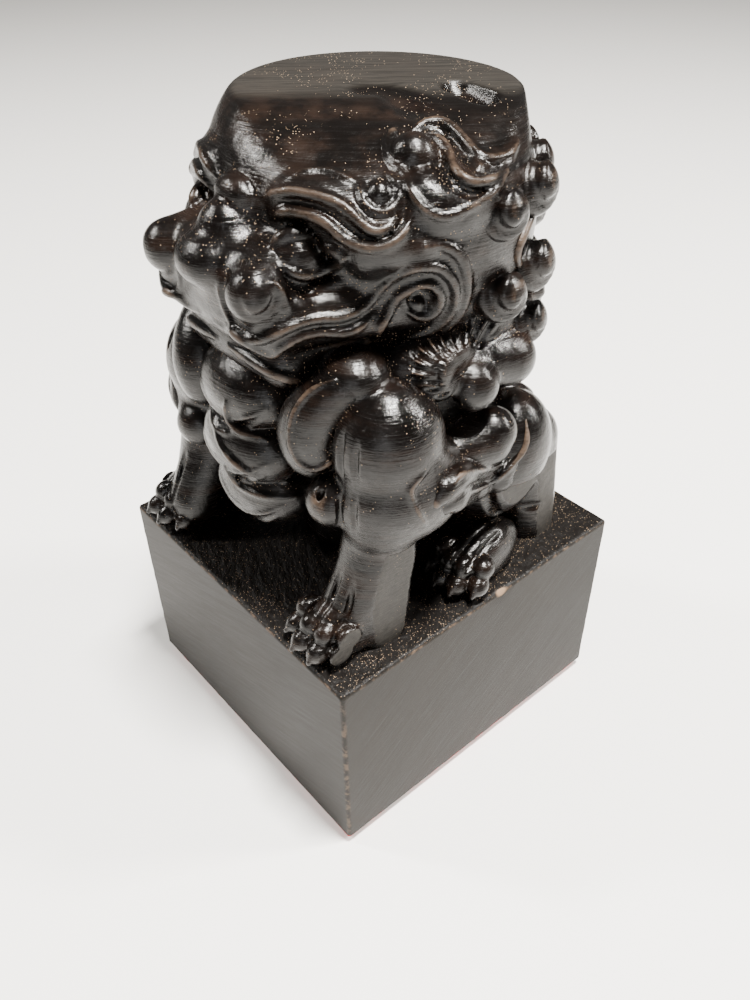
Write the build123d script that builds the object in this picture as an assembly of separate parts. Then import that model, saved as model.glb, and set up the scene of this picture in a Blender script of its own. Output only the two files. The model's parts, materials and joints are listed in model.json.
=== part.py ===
from build123d import *
from math import asin, atan2, cos, degrees, radians, sin
import os

# A hand seal: a squared block of dark wood with a seated guardian lion carved on it.
# Millimetres. The origin is the middle of the printing face, +Z is up, the lion looks
# along -Y and its left flank is +X. Everything lies inside one squared billet.

# Block
block_width = 50.0
block_depth = 51.0
block_height = 32.0
block_arris = 0.35

# Printing face, cut into the underside of the block
engraving_depth = 1.0
paste_thickness = 0.15
print_margin = 1.4
border_width = 2.0
key_bar = 1.3
key_gap = 1.5
inner_frame_width = 1.5
lozenge_width = 9.0

# Body of the lion
lion_height = 60.0
body_half_width = 17.5
body_half_depth = 16.5
rump_length = 31.0
rump_radius = 8.2
haunch_length = 24.0
haunch_radius = 7.6
hock_radius = 4.6
hock_foot_radius = 4.2
hind_paw_length = 14.0
hind_paw_radius = 4.3
toe_length = 6.0
toe_radius = 1.9
shoulder_radius = 7.2
shoulder_length = 17.0
knee_radius = 4.4
elbow_tuft_length = 14.0
elbow_curl_radius = 3.8
leg_top_radius = 5.4
leg_ankle_radius = 4.3
fore_paw_length = 13.0
fore_paw_radius = 5.2

# Chest, neck and mane
bib_width = 15.5
bib_radius = 5.2
lock_length = 13.0
lock_radius = 3.9
curl_radius = 3.1
big_curl_radius = 3.2
tuft_length = 12.5
tuft_radius = 3.6
back_lock_length = 16.0
back_lock_radius = 2.7
tail_length = 27.0
tail_radius = 4.8
tail_curl_radius = 3.2

# Head
head_height = 26.0
head_half_width = 21.0
head_half_depth = 18.0
muzzle_height = 13.5
muzzle_half_width = 15.0
muzzle_half_depth = 13.5
jaw_height = 9.5
jaw_half_width = 12.5
jaw_half_depth = 11.5
mouth_gap = 0.8
nose_radius = 3.7
nose_length = 8.0
nose_wing_radius = 3.0
nose_wing_length = 8.6
nostril_radius = 0.9
nostril_depth = 2.5
knob_radius = 2.7
relief_height = 1.1
line_width = 1.7
brow_ball_radius = 2.0
brow_ring_radius = 3.2
eye_length = 5.6
eye_radius = 2.3
lid_width = 1.1
lip_width = 2.2
volute_radius = 3.6
volute_width = 1.5
volute_bead_radius = 1.3
ear_length = 14.5
ear_width = 9.0
ear_height = 2.0
ear_rim = 1.6
ear_ball_radius = 2.5

# Shavings smaller than this across, left where two forms meet, are pared away
paring_size = 0.7

half_width = block_width / 2
half_depth = block_depth / 2
body_height = lion_height - head_height
front = -1
left_side = 1
right_side = -1

# What each form is cut back to, so that it seats on it
under = {
    "torso": ["seal_block"],
    "skull": [],
    "rump": ["seal_block", "torso"],
    "muzzle": ["skull"],
    "lower_jaw": ["torso", "skull", "muzzle"],
    "haunch": ["seal_block", "torso", "rump"],
    "hind_paw": ["seal_block", "torso", "haunch"],
    "shoulder": ["torso", "skull", "lower_jaw"],
    "foreleg": ["seal_block", "torso", "shoulder"],
    "forepaw": ["seal_block", "torso", "shoulder", "foreleg"],
    "chest_bib": ["torso", "skull", "lower_jaw", "shoulder", "foreleg"],
    "neck_lock": ["torso", "skull", "lower_jaw", "shoulder", "foreleg", "chest_bib"],
    "elbow_curl": ["torso", "haunch", "shoulder", "foreleg"],
    "mane_curls": ["torso", "skull", "haunch", "shoulder", "elbow_curl"],
    "ear": ["skull", "mane_curls"],
    "brow": ["skull", "muzzle", "ear"],
    "eye": ["skull", "muzzle", "brow"],
    "cheek_volute": ["skull", "muzzle", "lower_jaw", "shoulder", "mane_curls", "brow", "eye"],
    "mane_back": ["torso", "skull", "rump", "haunch", "mane_curls", "ear"],
    "nape_curls": ["torso", "skull", "rump", "mane_back"],
    "tail": ["seal_block", "torso", "rump", "nape_curls", "mane_back"],
    "tail_curls": ["seal_block", "torso", "rump", "haunch", "mane_back", "nape_curls", "tail"],
    "nose": ["muzzle"],
    "upper_lip": ["skull", "muzzle", "lower_jaw", "nose"],
    "forehead_knob": ["skull", "muzzle", "brow"],
}
low_reliefs = ("brow", "eye", "cheek_volute", "ear")

# Rows of rise, half width, half depth and lean, as shares of the form they shape
body_rows_share = [(0, 0.76, 0.80, 0.22), (0.27, 0.90, 0.92, 0.18), (0.54, 1.0, 1.0, 0.06),
                   (0.78, 1.0, 0.98, 0.0), (1.0, 0.84, 0.80, 0.0)]
head_rows_share = [(0, 0.67, 0.72, 0.05), (0.23, 0.90, 0.92, 0.05), (0.54, 1.0, 1.0, 0.05),
                   (0.81, 0.93, 0.94, 0.05), (1.0, 0.79, 0.81, 0.11)]
muzzle_rows_share = [(0, 0.93, 0.95, -0.66), (0.35, 0.93, 1.0, -0.66), (0.60, 0.62, 0.90, -0.70),
                     (0.80, 0.42, 0.72, -0.76), (1.0, 0.33, 0.52, -0.80)]
jaw_rows_share = [(0, 0.56, 0.60, -0.78), (0.45, 0.86, 0.88, -0.82), (1.0, 1.0, 1.0, -0.80)]
lobe_tip_share = 0.62
ball_stretch_share = 1.04
muzzle_base_share = 0.65
jaw_base_share = 0.485

# Places as shares of half the width, half the depth and the height of the lion
rump_share = (0, 0.60, 0.17)
haunch_share = (0.57, 0.36, 0.225)
haunch_aim_share = (0.45, 0.20, 1.0)
hock_shares = [(0.64, 0.60, 0.26), (0.65, 0.66, 0.0)]
hind_paw_share = (0.78, 0.16, 0.045)
hind_paw_aim_share = (0.12, -1.0, 0.0)
shoulder_left_share = (0.70, -0.45, 0.475)
shoulder_right_share = (-0.55, -0.56, 0.43)
left_knee_shares = [(0.59, -0.68, 0.345), (0.76, -0.47, 0.30)]
right_knee_shares = [(-0.52, -0.72, 0.31), (-0.72, -0.52, 0.29)]
elbow_curl_share = (0.835, 0.10, 0.40)
elbow_aim_share = (-0.26, -1.0, -0.1)
left_leg_shares = [(0.72, -0.48, 0.36), (0.74, -0.57, 0.05)]
right_leg_shares = [(-0.62, -0.60, 0.36), (-0.72, -0.62, 0.06)]
left_paw_share = (0.70, -0.68, 0.06)
right_paw_share = (-0.74, -0.68, 0.06)
left_paw_aim_share = (0.05, -1.0, 0.0)
right_paw_aim_share = (-0.05, -1.0, 0.0)
bib_shares = [(0.0, -0.70, 0.50), (0.03, -0.74, 0.385), (0.05, -0.70, 0.275)]
toe_shares = [(-0.66, 0.66), (-0.22, 0.82), (0.23, 0.80), (0.67, 0.64)]
toe_dip_share = -0.35
left_lock_share = (0.42, -0.66, 0.44)
right_lock_share = (-0.36, -0.74, 0.49)
lock_aim_share = (0.0, 0.25, 1.0)
tail_share = (0, 0.80, 0.34)
tail_aim_share = (0, -0.16, 1.0)
tail_curl_shares = [(0.24, 0.80, 0.14), (0.24, 0.78, 0.33)]
side_curl_shares = [(0.71, 0.33, 0.865), (0.80, 0.07, 0.855), (0.73, 0.34, 0.72), (0.80, 0.10, 0.70),
                    (0.73, 0.36, 0.60)]
big_curl_share = (0.80, -0.03, 0.53)
tuft_share = (0.74, -0.10, 0.58)
tuft_aim_share = (-0.15, -0.35, 1.0)
back_curl_shares = [(0.60, 0.52, 0.80), (0.34, 0.70, 0.80), (0.50, 0.60, 0.655), (0.22, 0.72, 0.655)]
nape_curl_shares = [(0.0, 0.74, 0.80), (0.0, 0.72, 0.53)]
back_lock_shares = [(0.62, 0.62, 0.47), (0.40, 0.72, 0.42), (0.20, 0.76, 0.45)]

# Places on the head, as a turn from straight ahead in degrees and a share of its height
brow_face_turn = 35
eye_face_turn = 25
cheek_face_turn = 62
top_brow_shares = [(6, 0.80), (24, 0.85), (38, 0.835), (45, 0.80)]
brow_ball_share = (50, 0.80)
middle_brow_shares = [(9, 0.71), (22, 0.785), (33, 0.77), (44, 0.67), (51, 0.675), (56, 0.74)]
low_brow_shares = [(12, 0.65), (24, 0.70), (34, 0.655), (43, 0.595), (52, 0.60), (59, 0.68)]
eye_share = (25, 0.565)
upper_lid_shares = [(13, 0.60), (21, 0.655), (30, 0.63), (38, 0.56)]
lower_lid_shares = [(13, 0.55), (21, 0.475), (30, 0.485), (38, 0.53)]
volute_share = (61, 0.375)
cheek_shares = [(48, 0.62), (62, 0.605), (72, 0.565), (79, 0.44), (78, 0.30), (69, 0.16), (56, 0.07)]
lip_rise_shares = [(56, 0.50), (66, 0.52), (73, 0.44), (74, 0.32), (68, 0.21)]
ear_ball_share = (60, 0.87)
ear_tip_share = (112, 0.90)
ear_belly_share = 0.42
ear_face_turn = 85

# Places on the muzzle, from its own middle, as turn and share of the muzzle's height
lip_front_shares = [(0, 0.13), (12, 0.03), (25, 0.02), (40, 0.14), (56, 0.34)]
nose_share = (0, 0.60)
nose_wing_share = (0.37, -0.81, 0.755)
nose_wing_sweep = 25
knob_share = (0, -0.68, 0.885)


def at(place_share, side=left_side):
    """A point of the lion from its shares, on the left side or mirrored to the right."""
    x_share, y_share, z_share = place_share
    return Vector(side * x_share * half_width, y_share * half_depth, block_height + z_share * lion_height)


def oval_at(rows_share, rise_share):
    """Half width, half depth and lean shares of a stack of ovals at one height."""
    for low, high in zip(rows_share, rows_share[1:]):
        if rise_share <= high[0]:
            part = max(0, rise_share - low[0]) / (high[0] - low[0])
            return [a + (b - a) * part for a, b in zip(low[1:], high[1:])]
    return rows_share[-1][1:]


def on_stack(rows_share, base, size, turn, rise_share):
    """A point on a stack of ovals, turned from straight ahead towards the left side."""
    height, stack_half_width, stack_half_depth = size
    wide, deep, lean = oval_at(rows_share, rise_share)
    return Vector(wide * stack_half_width * sin(radians(turn)),
                  (lean - deep * cos(radians(turn))) * stack_half_depth,
                  base + rise_share * height)


head_size = (head_height, head_half_width, head_half_depth)
muzzle_size = (muzzle_height, muzzle_half_width, muzzle_half_depth)
jaw_size = (jaw_height, jaw_half_width, jaw_half_depth)
body_size = (body_height, body_half_width, body_half_depth)
head_base = block_height + body_height
muzzle_base = block_height + muzzle_base_share * lion_height
jaw_base = block_height + jaw_base_share * lion_height


def on_head(place_share, side=left_side):
    turn, rise_share = place_share
    return on_stack(head_rows_share, head_base, head_size, side * turn, rise_share)


def on_muzzle(place_share, side=left_side):
    turn, rise_share = place_share
    return on_stack(muzzle_rows_share, muzzle_base, muzzle_size, side * turn, rise_share)


def stack(rows_share, base, size):
    """A smooth loft through level ovals."""
    height, stack_half_width, stack_half_depth = size
    ovals = [Pos(0, lean * stack_half_depth, base + rise * height)
             * Ellipse(wide * stack_half_width, deep * stack_half_depth)
             for rise, wide, deep, lean in rows_share]
    return loft(ovals)


def towards(place, aim):
    """A plane at a place whose normal points along aim."""
    return Plane(origin=place, z_dir=Vector(*aim))


def lobe(length, radius):
    """An egg with its long axis on Z: a belly curve that runs into two round end arcs."""
    tip_radius = radius * lobe_tip_share
    tip = length / 2 - tip_radius
    belly_radius = (tip ** 2 + radius ** 2 - tip_radius ** 2) / (2 * (radius - tip_radius))
    lean = degrees(atan2(tip, belly_radius - radius))
    foot_arc = CenterArc((0, -tip), tip_radius, -90, 90 - lean)
    tip_arc = CenterArc((0, tip), tip_radius, lean, 90 - lean)
    belly = Spline(foot_arc @ 1, (radius, 0), tip_arc @ 0, tangents=[foot_arc % 1, tip_arc % 0])
    section = make_face([foot_arc, belly, tip_arc, Line(tip_arc @ 1, foot_arc @ 0)])
    return revolve(Plane.XZ * section, Axis.Z, 360)


def flame(length, radius):
    """A lock of hair: a full round foot drawn out to a point along +Z."""
    point = length - radius
    lean = degrees(asin(radius / point))
    foot = CenterArc((0, 0), radius, -90, 90 + lean)
    side = Line(foot @ 1, (0, point))
    section = make_face([foot, side, Line(side @ 1, foot @ 0)])
    return revolve(Plane.XZ * section, Axis.Z, 360)


def limb(start, end, start_radius, end_radius):
    """A tapering leg between two points."""
    run = end - start
    return towards(start, run) * Pos(0, 0, run.length / 2) * Cone(start_radius, end_radius, run.length)


def face_plane(turn, side):
    """An upright plane through the middle of the head that faces out at a turn."""
    way = radians(side * turn)
    return Plane(origin=(0, 0, head_base), x_dir=(cos(way), sin(way), 0), z_dir=(sin(way), -cos(way), 0))


def on_plane(plane, point):
    spot = plane.to_local_coords(point)
    return (spot.X, spot.Y)


def line(plane, points, width):
    """The outline of a raised line with round ends, drawn on a face plane."""
    spots = [on_plane(plane, point) for point in points]
    outline = trace(Spline(*spots), width)
    for end in (spots[0], spots[-1]):
        outline += Pos(*end) * Circle(width / 2)
    return outline


def raised(plane, outline, rows_share, base, size, rise=relief_height):
    """Carves an outline in low relief on a stack of ovals."""
    height, stack_half_width, stack_half_depth = size
    skin = stack(rows_share, base, (height, stack_half_width + rise, stack_half_depth + rise))
    return extrude(plane * outline, block_width) & skin


def seal_block():
    floor = paste_thickness + engraving_depth
    body = Pos(0, 0, (floor + block_height) / 2) * Box(block_width, block_depth, block_height - floor)
    sides = body.edges().filter_by(Axis.Z)
    return chamfer(sides + body.faces().sort_by(Axis.Z)[-1].edges(), block_arris)


def frame_of(width, depth, band):
    return Rectangle(width, depth) - Rectangle(width - 2 * band, depth - 2 * band)


def key_hook(side):
    """One square hook of the meander, inside a square of the given side."""
    reach = side - key_bar
    inner = reach - key_bar - key_gap
    bars = [((-reach / 2, 0), (key_bar, side)), ((0, reach / 2), (side, key_bar)),
            ((reach / 2, (reach - inner) / 2), (key_bar, inner + key_bar)),
            ((reach / 2 - inner / 2, reach / 2 - inner), (inner + key_bar, key_bar))]
    hook = Sketch()
    for place, size in bars:
        hook += Pos(*place) * Rectangle(*size)
    return hook


def printing_pattern():
    """A plain border, a ring of square hooks, an inner frame and a lozenge."""
    width = block_width - 2 * print_margin
    depth = block_depth - 2 * print_margin
    border = frame_of(width, depth, border_width)
    hooks_each_side = 4
    field = width - 2 * border_width - 2 * key_gap
    pitch = (field + key_gap) / (hooks_each_side + 1)
    side = pitch - key_gap
    pattern = border
    stretch = (depth - 2 * border_width - 2 * key_gap - side) / (field - side)
    for quarter in range(4):
        for count in range(hooks_each_side):
            x = (side - field) / 2 + count * pitch
            y = (field - side) / 2
            turned = Rot(0, 0, -90 * quarter) * Pos(x, y) * key_hook(side)
            shift = turned.center(CenterOf.BOUNDING_BOX).Y * (stretch - 1)
            pattern += Pos(0, shift) * turned
    inner_width = field - 2 * side - 2 * key_gap
    inner_depth = inner_width + depth - width
    pattern += frame_of(inner_width, inner_depth, inner_frame_width)
    pattern += Rot(0, 0, 45) * frame_of(lozenge_width, lozenge_width, inner_frame_width)
    return pattern


def printing_relief(pattern):
    return extrude(Pos(0, 0, paste_thickness) * pattern, engraving_depth)


def paste_film(pattern):
    return extrude(pattern, paste_thickness)


def rump():
    return towards(at(rump_share), (1, 0, 0)) * lobe(rump_length, rump_radius)


def haunch(side):
    aim = (side * haunch_aim_share[0], *haunch_aim_share[1:])
    thigh = towards(at(haunch_share, side), aim) * lobe(haunch_length, haunch_radius)
    hock_top, hock_foot = [at(place, side) for place in hock_shares]
    return thigh + limb(hock_top, hock_foot, hock_radius, hock_foot_radius)


def paw(place, aim, length, radius):
    """A long paw with four knuckled toes."""
    form = towards(place, aim) * lobe(length, radius)
    heading = Vector(*aim).normalized()
    across = heading.cross(Vector(0, 0, 1))
    for side_share, reach_share in toe_shares:
        knuckle = place + across * (side_share * radius) + heading * (reach_share * length / 2)
        form += towards(knuckle, (*aim[:2], toe_dip_share)) * lobe(toe_length, toe_radius)
    return form


def hind_paw(side):
    aim = (side * hind_paw_aim_share[0], *hind_paw_aim_share[1:])
    return paw(at(hind_paw_share, side), aim, hind_paw_length, hind_paw_radius)


def shoulder(place_share, knee_shares):
    form = towards(at(place_share), (0, 0, 1)) * lobe(shoulder_length, shoulder_radius)
    for knee in knee_shares:
        form += ball(at(knee), knee_radius)
    return form


def elbow_curl(side):
    """The flame of hair behind the foreleg, rolled up at its end."""
    aim = (side * elbow_aim_share[0], *elbow_aim_share[1:])
    return towards(at(elbow_curl_share, side), aim) * flame(elbow_tuft_length, elbow_curl_radius)


def chest_bib():
    folds = [towards(at(place), (1, 0, 0)) * lobe(bib_width, bib_radius) for place in bib_shares]
    return folds[0] + folds[1] + folds[2]


def neck_lock(place_share):
    return towards(at(place_share), lock_aim_share) * flame(lock_length, lock_radius)


def mane_curls(side):
    """The curls of one flank, with the big one under the ear and the tuft that feeds it."""
    aim = (side * tuft_aim_share[0], *tuft_aim_share[1:])
    form = ball(at(big_curl_share, side), big_curl_radius)
    form += towards(at(tuft_share, side), aim) * flame(tuft_length, tuft_radius)
    for place in side_curl_shares:
        form += ball(at(place, side), curl_radius)
    return form


def nape_curls():
    upper, lower = [ball(at(place), curl_radius) for place in nape_curl_shares]
    return upper + lower


def mane_back(side):
    """The curls and hanging locks of one half of the nape."""
    form = None
    for place in back_curl_shares:
        curl = ball(at(place, side), curl_radius)
        form = curl if form is None else form + curl
    for place in back_lock_shares:
        form += Pos(at(place, side)) * Rot(180, 0, 0) * flame(back_lock_length, back_lock_radius)
    return form


def tail():
    return towards(at(tail_share), tail_aim_share) * lobe(tail_length, tail_radius)


def tail_curls(side):
    lower, upper = [ball(at(place, side), tail_curl_radius) for place in tail_curl_shares]
    return lower + upper


def skull():
    return stack(head_rows_share, head_base, head_size)


def muzzle():
    return stack(muzzle_rows_share, muzzle_base, muzzle_size)


def lower_jaw():
    jaw = stack(jaw_rows_share, jaw_base, jaw_size)
    slot = Pos(0, 0, muzzle_base) * Box(block_width, block_depth, 2 * mouth_gap)
    return jaw - slot


def nose():
    """The tip lobe and two flared wings, each with its nostril."""
    form = towards(on_muzzle(nose_share), (1, 0, 0)) * lobe(nose_length, nose_radius)
    for side in (left_side, right_side):
        place = at(nose_wing_share, side)
        sweep_back = (cos(radians(nose_wing_sweep)), side * sin(radians(nose_wing_sweep)), 0)
        form += towards(place, sweep_back) * lobe(nose_wing_length, nose_wing_radius)
        mouth = place + Vector(0, front * nose_wing_radius, 0)
        form -= towards(mouth, (0, front, 0)) * Cylinder(nostril_radius, nostril_depth)
    return form


def forehead_knob():
    return ball(at(knob_share), knob_radius)


def brow(side):
    """Three raised lines that sweep back from the nose, the top one round a bead."""
    plane = face_plane(brow_face_turn, side)
    outline = Sketch()
    for lines_share in (top_brow_shares, middle_brow_shares, low_brow_shares):
        outline += line(plane, [on_head(place, side) for place in lines_share], line_width)
    bead = Pos(*on_plane(plane, on_head(brow_ball_share, side)))
    outline += bead * (Circle(brow_ring_radius) - Circle(brow_ring_radius - line_width / 2))
    outline += bead * Circle(brow_ball_radius)
    return raised(plane, outline, head_rows_share, head_base, head_size)


def eye(side):
    """The bulging eyeball between two lids."""
    turn = radians(side * eye_share[0])
    eyeball = towards(on_head(eye_share, side), (cos(turn), sin(turn), 0)) * lobe(eye_length, eye_radius)
    plane = face_plane(eye_face_turn, side)
    outline = line(plane, [on_head(place, side) for place in upper_lid_shares], lid_width)
    outline += line(plane, [on_head(place, side) for place in lower_lid_shares], lid_width)
    return eyeball + raised(plane, outline, head_rows_share, head_base, head_size)


def cheek_volute(side):
    """The coiled corner of the mouth, its bead and the line that wraps it down to the jaw."""
    plane = face_plane(cheek_face_turn, side)
    middle = Pos(*on_plane(plane, on_head(volute_share, side)))
    outline = middle * (Circle(volute_radius) - Circle(volute_radius - volute_width))
    outline += middle * Circle(volute_bead_radius)
    outline += line(plane, [on_head(place, side) for place in lip_rise_shares], line_width)
    outline += line(plane, [on_head(place, side) for place in cheek_shares], line_width)
    return raised(plane, outline, head_rows_share, head_base, head_size)


def upper_lip():
    """The rim of the upper lip, up from the middle on both sides."""
    plane = face_plane(0, left_side)
    right_half = [on_muzzle(place, right_side) for place in reversed(lip_front_shares[1:])]
    left_half = [on_muzzle(place, left_side) for place in lip_front_shares]
    outline = line(plane, right_half + left_half, lip_width)
    return raised(plane, outline, muzzle_rows_share, muzzle_base, muzzle_size)


def ear(side):
    """A leaf-shaped ear laid back along the head, hollowed inside its rim, with a ball at its root."""
    plane = face_plane(ear_face_turn, side)
    root, tip = [on_plane(plane, on_head(place, side)) for place in (ear_ball_share, ear_tip_share)]
    reach = Vector(*tip) - Vector(*root)
    across = reach.rotate(Axis.Z, 90).normalized() * (ear_width / 2)
    belly = Vector(*root) + reach * ear_belly_share
    upper = ThreePointArc(root, belly + across, tip)
    lower = ThreePointArc(tip, belly - across, root)
    leaf = make_face([upper, lower])
    rim = leaf - offset(leaf, -ear_rim)
    form = raised(plane, rim, head_rows_share, head_base, head_size, ear_height)
    form += raised(plane, leaf, head_rows_share, head_base, head_size, ear_height / 2)
    return form + ball(on_head(ear_ball_share, side), ear_ball_radius)


def ball(place, radius):
    """A curl's round end, a little longer than wide, that points straight out from the middle."""
    outwards = Plane(origin=place, x_dir=(0, 0, 1), z_dir=(place.X, place.Y, 0))
    return outwards * lobe(2 * ball_stretch_share * radius, radius)


def family(name):
    return name.removesuffix("_left").removesuffix("_right")


def lies_under(tool_name, name):
    """Whether a form meets one that was cut before it: never one of the other side."""
    if family(tool_name) not in under[family(name)]:
        return False
    sides = {end for end in ("_left", "_right") for one in (tool_name, name) if one.endswith(end)}
    return len(sides) < 2


def seated(name, form, tools):
    """Cuts a form back to the ones under it, so that it sits on them face to face."""
    for tool_name, tool in tools.items():
        if lies_under(tool_name, name):
            form = form - tool
    kept = [solid for solid in form.solids() if solid.volume > paring_size ** 3]
    return Compound(children=kept) if len(kept) > 1 else kept[0]


def lion_forms():
    """Every carved form in the order it is cut, uncut as yet by its neighbours."""
    forms = {"torso": stack(body_rows_share, block_height, body_size), "skull": skull(), "rump": rump(),
             "muzzle": muzzle(), "lower_jaw": lower_jaw()}
    for name, make in {"haunch": haunch, "hind_paw": hind_paw}.items():
        forms[name + "_left"] = make(left_side)
        forms[name + "_right"] = make(right_side)
    forms["shoulder_left"] = shoulder(shoulder_left_share, left_knee_shares)
    forms["shoulder_right"] = shoulder(shoulder_right_share, right_knee_shares)
    left_top, left_foot = [at(place) for place in left_leg_shares]
    right_top, right_foot = [at(place) for place in right_leg_shares]
    forms["foreleg_left"] = limb(left_top, left_foot, leg_top_radius, leg_ankle_radius)
    forms["foreleg_right"] = limb(right_top, right_foot, leg_top_radius, leg_ankle_radius)
    forms["forepaw_left"] = paw(at(left_paw_share), left_paw_aim_share, fore_paw_length, fore_paw_radius)
    forms["forepaw_right"] = paw(at(right_paw_share), right_paw_aim_share, fore_paw_length, fore_paw_radius)
    forms["chest_bib"] = chest_bib()
    forms["neck_lock_left"] = neck_lock(left_lock_share)
    forms["neck_lock_right"] = neck_lock(right_lock_share)
    pairs = {"elbow_curl": elbow_curl, "mane_curls": mane_curls, "ear": ear,
             "brow": brow, "eye": eye, "cheek_volute": cheek_volute, "mane_back": mane_back}
    for name, make in pairs.items():
        forms[name + "_left"] = make(left_side)
        forms[name + "_right"] = make(right_side)
    forms["nape_curls"] = nape_curls()
    forms["tail"] = tail()
    forms["tail_curls_left"] = tail_curls(left_side)
    forms["tail_curls_right"] = tail_curls(right_side)
    forms["nose"] = nose()
    forms["upper_lip"] = upper_lip()
    forms["forehead_knob"] = forehead_knob()
    return forms


def carve():
    """The whole seal, each form seated on the ones before it."""
    pattern = printing_pattern()
    block = seal_block()
    carved = {"seal_block": block, "printing_relief": printing_relief(pattern),
              "seal_paste_film": paste_film(pattern)}
    tools = {"seal_block": block}
    for name, form in lion_forms().items():
        carved[name] = seated(name, form, tools)
        tools[name] = carved[name] if family(name) in low_reliefs else form
    return carved


os.makedirs("parts", exist_ok=True)
for name, form in carve().items():
    export_step(form, f"parts/{name}.step")
    print(name, len(form.solids()), round(form.volume, 1))
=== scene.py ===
import bpy
import json
import math
import numpy as np
from mathutils import Matrix, Vector

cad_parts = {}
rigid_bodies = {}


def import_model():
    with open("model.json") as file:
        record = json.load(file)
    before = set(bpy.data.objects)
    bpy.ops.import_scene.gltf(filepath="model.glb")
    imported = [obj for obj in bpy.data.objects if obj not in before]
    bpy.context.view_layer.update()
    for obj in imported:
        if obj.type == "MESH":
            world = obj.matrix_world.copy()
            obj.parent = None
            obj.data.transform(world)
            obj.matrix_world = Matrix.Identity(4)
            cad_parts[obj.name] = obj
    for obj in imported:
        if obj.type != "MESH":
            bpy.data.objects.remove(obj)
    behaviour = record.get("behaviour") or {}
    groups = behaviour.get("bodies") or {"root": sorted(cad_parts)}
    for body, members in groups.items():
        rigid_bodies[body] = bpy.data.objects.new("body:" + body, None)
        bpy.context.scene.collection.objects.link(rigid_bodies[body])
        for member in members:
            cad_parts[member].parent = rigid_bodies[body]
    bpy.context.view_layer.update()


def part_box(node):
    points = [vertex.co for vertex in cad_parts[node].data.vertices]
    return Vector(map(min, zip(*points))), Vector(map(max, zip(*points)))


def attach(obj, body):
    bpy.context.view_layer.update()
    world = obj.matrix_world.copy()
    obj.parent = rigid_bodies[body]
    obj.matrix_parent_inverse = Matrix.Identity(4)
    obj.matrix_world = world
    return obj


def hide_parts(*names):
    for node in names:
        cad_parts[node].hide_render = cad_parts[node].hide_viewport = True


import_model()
print("frame loaded")

# Sculpting is done in millimetres, in the frame of the CAD part, and meshes are made in metres
mm = 0.001
fineStep = 0.23      # spacing of the sculpting grids
headStep = max(fineStep, 0.3)                # the two largest forms take a wider one
torsoStep = max(fineStep, 0.42)
wholeStep = 0.5                              # and so does the grid that holds every form
blockTop = 32.0                              # top of the block
blockHalves = (25.0, 25.5)                   # half its width and depth
farAway = 50.0                               # value of empty space in a sculpting grid
endRound = 0.6                               # rounding of the flat ends of a stack of ovals
cameraGap = 60.0                             # rays start this far in front of the camera,
sideGap = 45.0                               # this far from the upright axis,
wayGap = 40.0                                # and this far from a point that is cast one way

# The photograph's camera, solved from the block's edges. Pixels are in its 750 x 1000 frame.
photoCamera = {
    "place": (79.793, -66.166, 116.909),
    "azimuth": 49.784,
    "elevation": 38.542,
    "roll": -0.831,
    "focalPixels": 882.73,
    "middle": (375.0, 500.0),
    "tall": 1000,
    "sensor": 36.0,
}


def cameraAxes():
    azimuth, elevation, roll = [math.radians(photoCamera[k]) for k in ("azimuth", "elevation", "roll")]
    back = np.array([math.sin(azimuth) * math.cos(elevation), -math.cos(azimuth) * math.cos(elevation),
                     math.sin(elevation)])
    level = np.array([math.cos(azimuth), math.sin(azimuth), 0.0])
    rise = np.cross(back, level)
    right = math.cos(roll) * level + math.sin(roll) * rise
    up = math.cos(roll) * rise - math.sin(roll) * level
    return right, up, back


cameraRight, cameraUp, cameraBack = cameraAxes()
cameraPlace = np.array(photoCamera["place"])


# Clay: a grid of distances to a form's surface, negative inside the wood

def newClay(low, high, step=None):
    step = step or fineStep
    low = np.array(low, float) - 2 * step
    count = np.ceil((np.array(high, float) + 2 * step - low) / step).astype(int) + 1
    return {"low": low, "step": step, "value": np.full(count, farAway, np.float32)}


def windowOf(clay, low, high):
    first = np.maximum(np.floor((low - clay["low"]) / clay["step"]).astype(int), 0)
    last = np.minimum(np.ceil((high - clay["low"]) / clay["step"]).astype(int) + 1, clay["value"].shape)
    if (last <= first).any():
        return None
    part = tuple(slice(a, b) for a, b in zip(first, last))
    ticks = [clay["low"][i] + clay["step"] * np.arange(first[i], last[i]) for i in range(3)]
    x, y, z = [t.astype(np.float32) for t in ticks]
    return part, x[:, None, None], y[None, :, None], z[None, None, :]


def smoothMin(a, b, soft):
    if soft <= 0:
        return np.minimum(a, b)
    share = np.clip(0.5 + 0.5 * (a - b) / soft, 0, 1)
    return b * share + a * (1 - share) - soft * share * (1 - share)


def press(clay, shape, soft=0.3, dig=False):
    # adds a shape to the clay, or digs it out, with a rounded crease of the given softness
    distance, low, high = shape
    margin = soft + 4 * clay["step"]
    spot = windowOf(clay, np.array(low) - margin, np.array(high) + margin)
    if spot is None:
        return
    part, x, y, z = spot
    old = clay["value"][part]
    new = distance(x, y, z)
    clay["value"][part] = -smoothMin(-old, new, soft) if dig else smoothMin(old, new, soft)


def frameAlong(aim, side=(1.0, 0.0, 0.0)):
    w = np.array(aim, float)
    w /= np.linalg.norm(w)
    u = np.array(side, float) - np.dot(side, w) * w
    if np.linalg.norm(u) < 1e-3:
        u = np.cross(w, (0.0, 1.0, 0.0))
    u /= np.linalg.norm(u)
    return np.array([u, np.cross(w, u), w])


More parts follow.
